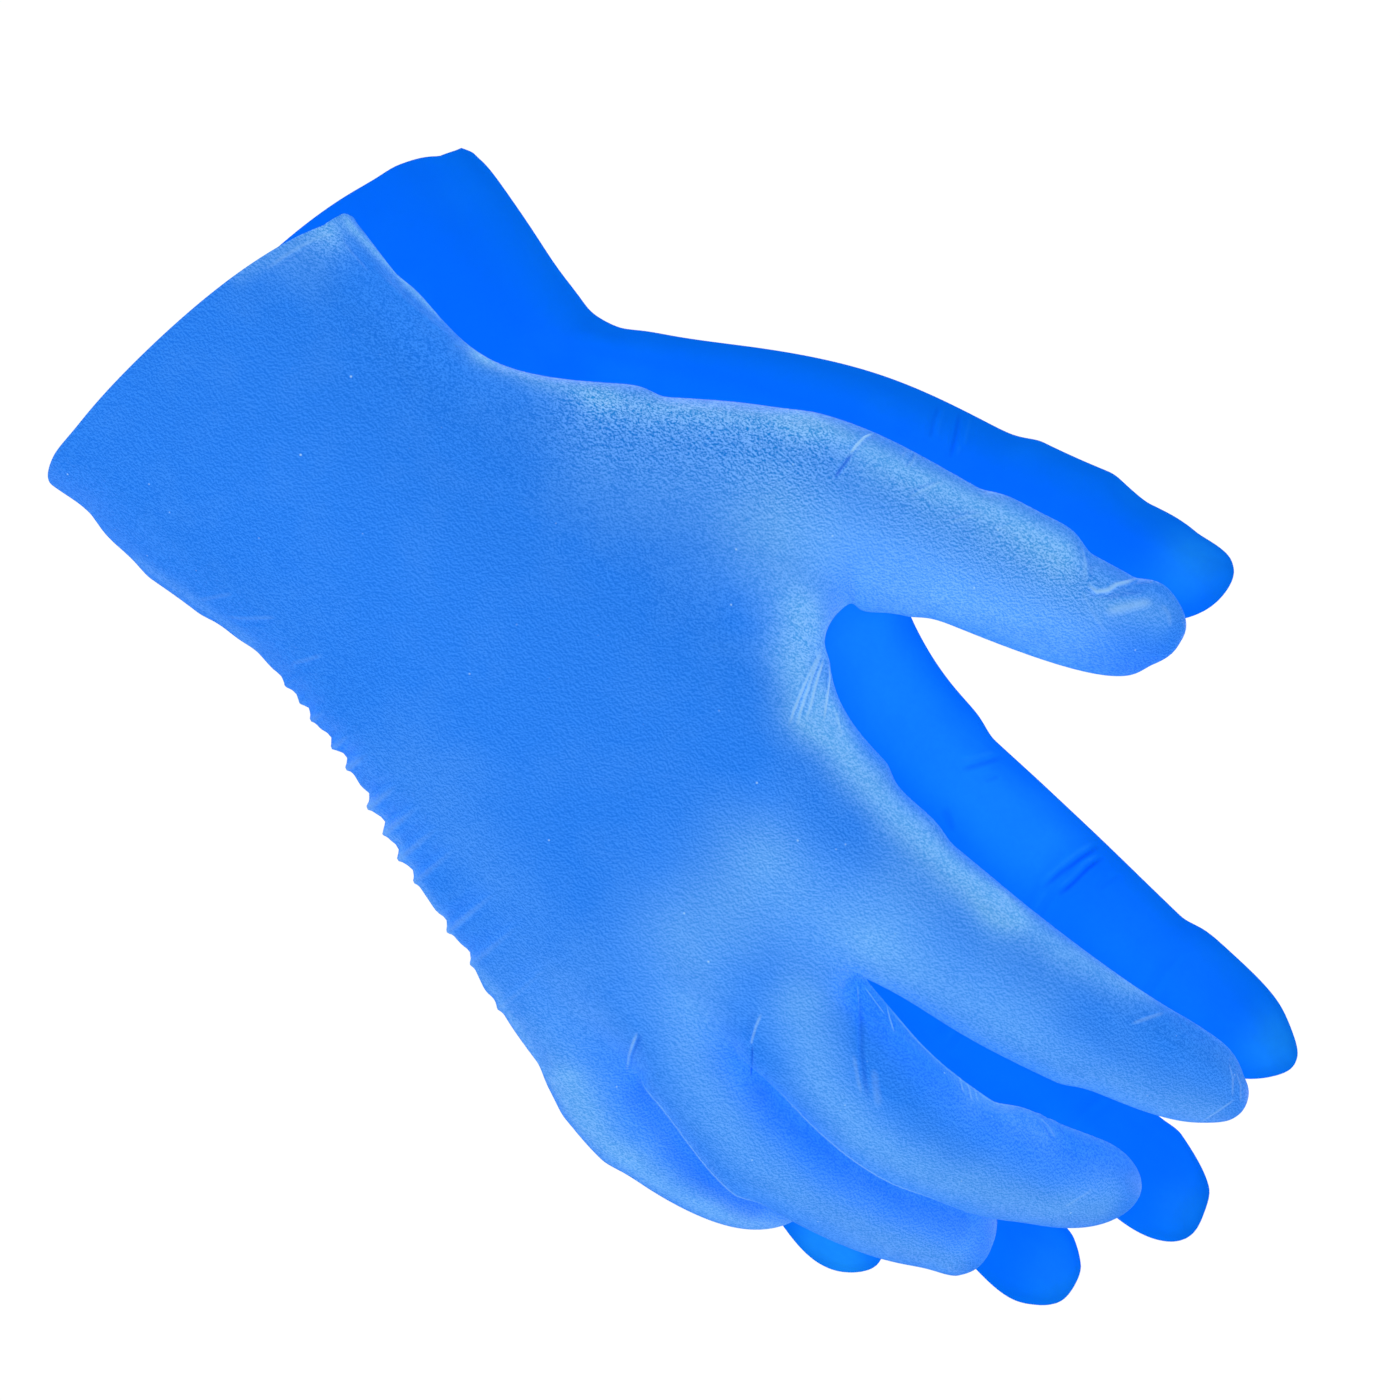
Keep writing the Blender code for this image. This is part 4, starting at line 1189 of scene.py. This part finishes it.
# Painted shade in the grooves and between the fingers, painted highlight on the lips and along the finger
# edges.
painted_shading = mark(tree, "painted_shading")
colour = blend(tree, ramp(tree, painted_shading, -0.05, -0.9), colour, PAINTED_SHADE_BLUE)
colour = blend(tree, ramp(tree, painted_shading, 0.05, 0.9), colour, PAINTED_HIGHLIGHT_BLUE)
# Painted glints: a few tiny highlights mixed into the base colour, more of them where the grain is coarse.
specks = add(tree, "ShaderNodeTexVoronoi", {"Vector": where, "Scale": 330.0}).outputs["Distance"]
sparse = sums(tree, noise(tree, where, 260.0, 0.0), sums(tree, coarse, 0.10, "MULTIPLY"))
painted_glint = sums(tree, ramp(tree, specks, 0.085, 0.04), ramp(tree, sparse, 0.62, 0.68), "MULTIPLY")
colour = blend(tree, painted_glint, colour, PAINTED_GLINT_BLUE)
tree.links.new(colour, shader.inputs["Base Color"])
bump = add(tree, "ShaderNodeBump", {"Height": pebbles, "Strength": 0.35, "Distance": 0.00010})
tree.links.new(bump.outputs[0], shader.inputs["Normal"])
tree.links.new(ramp(tree, pebbles, 0.0, 1.0, 0.66, 0.50), shader.inputs["Roughness"])
shader.inputs["Specular IOR Level"].default_value = 0.02
right_film.data.materials.append(material)
print("grained nitrile:", len(tree.nodes), "nodes")

# %% Smooth nitrile of the left glove
SMOOTH_DEEP, SMOOTH_PALE = (0.0009, 0.142, 0.820, 1.0), (0.0085, 0.240, 0.840, 1.0)
SMOOTH_PAINTED_SHADE, SMOOTH_PAINTED_HIGHLIGHT = (0.0003, 0.055, 0.640, 1.0), (0.020, 0.300, 0.950, 1.0)
RIPPLE_BLUE, RIPPLE_SHARE = (0.0006, 0.110, 0.860, 1.0), 0.10
material, tree, shader = new_material("smooth_nitrile")
where = add(tree, "ShaderNodeTexCoord").outputs["Object"]
cloud = noise(tree, where, 70.0)
ripple = noise(tree, where, 900.0)
share = sums(tree, mark(tree, "stretch_and_painted_light"), ramp(tree, cloud, 0.3, 0.7, -0.08, 0.08))
colour = blend(tree, ramp(tree, share, 0.0, 1.3, 0.0, 1.3), SMOOTH_DEEP, SMOOTH_PALE)
rippled = sums(tree, ramp(tree, ripple, 0.3, 0.7), RIPPLE_SHARE, "MULTIPLY")
colour = blend(tree, rippled, colour, RIPPLE_BLUE)
# Painted shade in the grooves, painted highlight on the lips.
painted_shading = mark(tree, "painted_shading")
colour = blend(tree, ramp(tree, painted_shading, -0.05, -0.8), colour, SMOOTH_PAINTED_SHADE)
colour = blend(tree, ramp(tree, painted_shading, 0.05, 1.0), colour, SMOOTH_PAINTED_HIGHLIGHT)
tree.links.new(colour, shader.inputs["Base Color"])
bump = add(tree, "ShaderNodeBump", {"Height": ripple, "Strength": 0.25, "Distance": 0.0001})
tree.links.new(bump.outputs[0], shader.inputs["Normal"])
tree.links.new(ramp(tree, cloud, 0.3, 0.7, 0.55, 0.45), shader.inputs["Roughness"])
shader.inputs["Specular IOR Level"].default_value = 0.0
left_film.data.materials.append(material)
print("smooth nitrile:", len(tree.nodes), "nodes")

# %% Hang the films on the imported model
for made, body, node, finish in (
    (right_film, "right", "right_glove", "grained_nitrile"),
    (left_film, "left", "left_glove", "smooth_nitrile"),
):
    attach(made, body)
    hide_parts(node)

# %% [markdown]
# ## Floor and light
# The gloves stand in the air over a plain floor, in the flat light of a white tent. A weak even sky gives
# the soft shadows on the floor and between the fingers. Twenty fill lamps shine from the corners of a
# dodecahedron, so every side of a glove gets the same light, and cast no shadows of their own. The floor is
# dull, so that it doesn't light the gloves from below. To the camera the sky is plain white, and the floor
# adds its own white for the camera, so it shows white and keeps the soft shadow.

# %% Floor
FLOOR_AT, FLOOR_HALF, FLOOR_GREY, FLOOR_GLOW = -0.30, 6.0, 0.25, 0.80
sheet = bpy.data.meshes.new("floor")
floor_corners = [(x * FLOOR_HALF, y * FLOOR_HALF, 0) for x, y in ((-1, -1), (1, -1), (1, 1), (-1, 1))]
sheet.from_pydata(floor_corners, [], [(0, 1, 2, 3)])
floor = bpy.data.objects.new("floor", sheet)
floor.location = (0.1, 0.0, FLOOR_AT)
bpy.context.scene.collection.objects.link(floor)
material, tree, shader = new_material("white_floor")
shader.inputs["Base Color"].default_value = (FLOOR_GREY, FLOOR_GREY, FLOOR_GREY, 1.0)
shader.inputs["Roughness"].default_value = 1.0
shader.inputs["Specular IOR Level"].default_value = 0.0
rays = add(tree, "ShaderNodeLightPath").outputs["Is Camera Ray"]
shader.inputs["Emission Color"].default_value = (1.0, 1.0, 1.0, 1.0)
tree.links.new(ramp(tree, rays, 0.0, 1.0, 0.0, FLOOR_GLOW), shader.inputs["Emission Strength"])
sheet.materials.append(material)
print("floor at", FLOOR_AT)

# %% Sky and fill lamps
SKY, FILL = 0.10, 0.173
world = bpy.data.worlds.new("white_sky")
bpy.context.scene.world = world
world.use_nodes = True
tree = world.node_tree
paths = add(tree, "ShaderNodeLightPath").outputs
shown = sums(tree, paths["Is Camera Ray"], paths["Is Glossy Ray"], "MAXIMUM")
shown = sums(tree, shown, paths["Is Transmission Ray"], "MAXIMUM")
tree.nodes["Background"].inputs["Color"].default_value = (1.0, 1.0, 1.0, 1.0)
tree.links.new(ramp(tree, shown, 0.0, 1.0, SKY, 1.0), tree.nodes["Background"].inputs["Strength"])


def fill_lamp(name, shines_from, share):
    light = bpy.data.lights.new(name, "SUN")
    light.energy = share * pi
    light.angle = 0.0
    light.use_shadow = False
    lamp = bpy.data.objects.new(name, light)
    lamp.rotation_euler = (-shines_from).to_track_quat("-Z", "Y").to_euler()
    bpy.context.scene.collection.objects.link(lamp)


GOLDEN = (1 + 5 ** 0.5) / 2
corners = [(a, b, c) for a in (-1, 1) for b in (-1, 1) for c in (-1, 1)]
for a in (-GOLDEN, GOLDEN):
    for b in (-1 / GOLDEN, 1 / GOLDEN):
        corners += [(0, b, a), (b, a, 0), (a, 0, b)]
for number, corner in enumerate(corners):
    fill_lamp(f"fill_{number}", Vector(corner).normalized(), FILL)
bpy.context.scene.view_settings.view_transform = "Standard"
print("sky", SKY, "and fill", FILL)
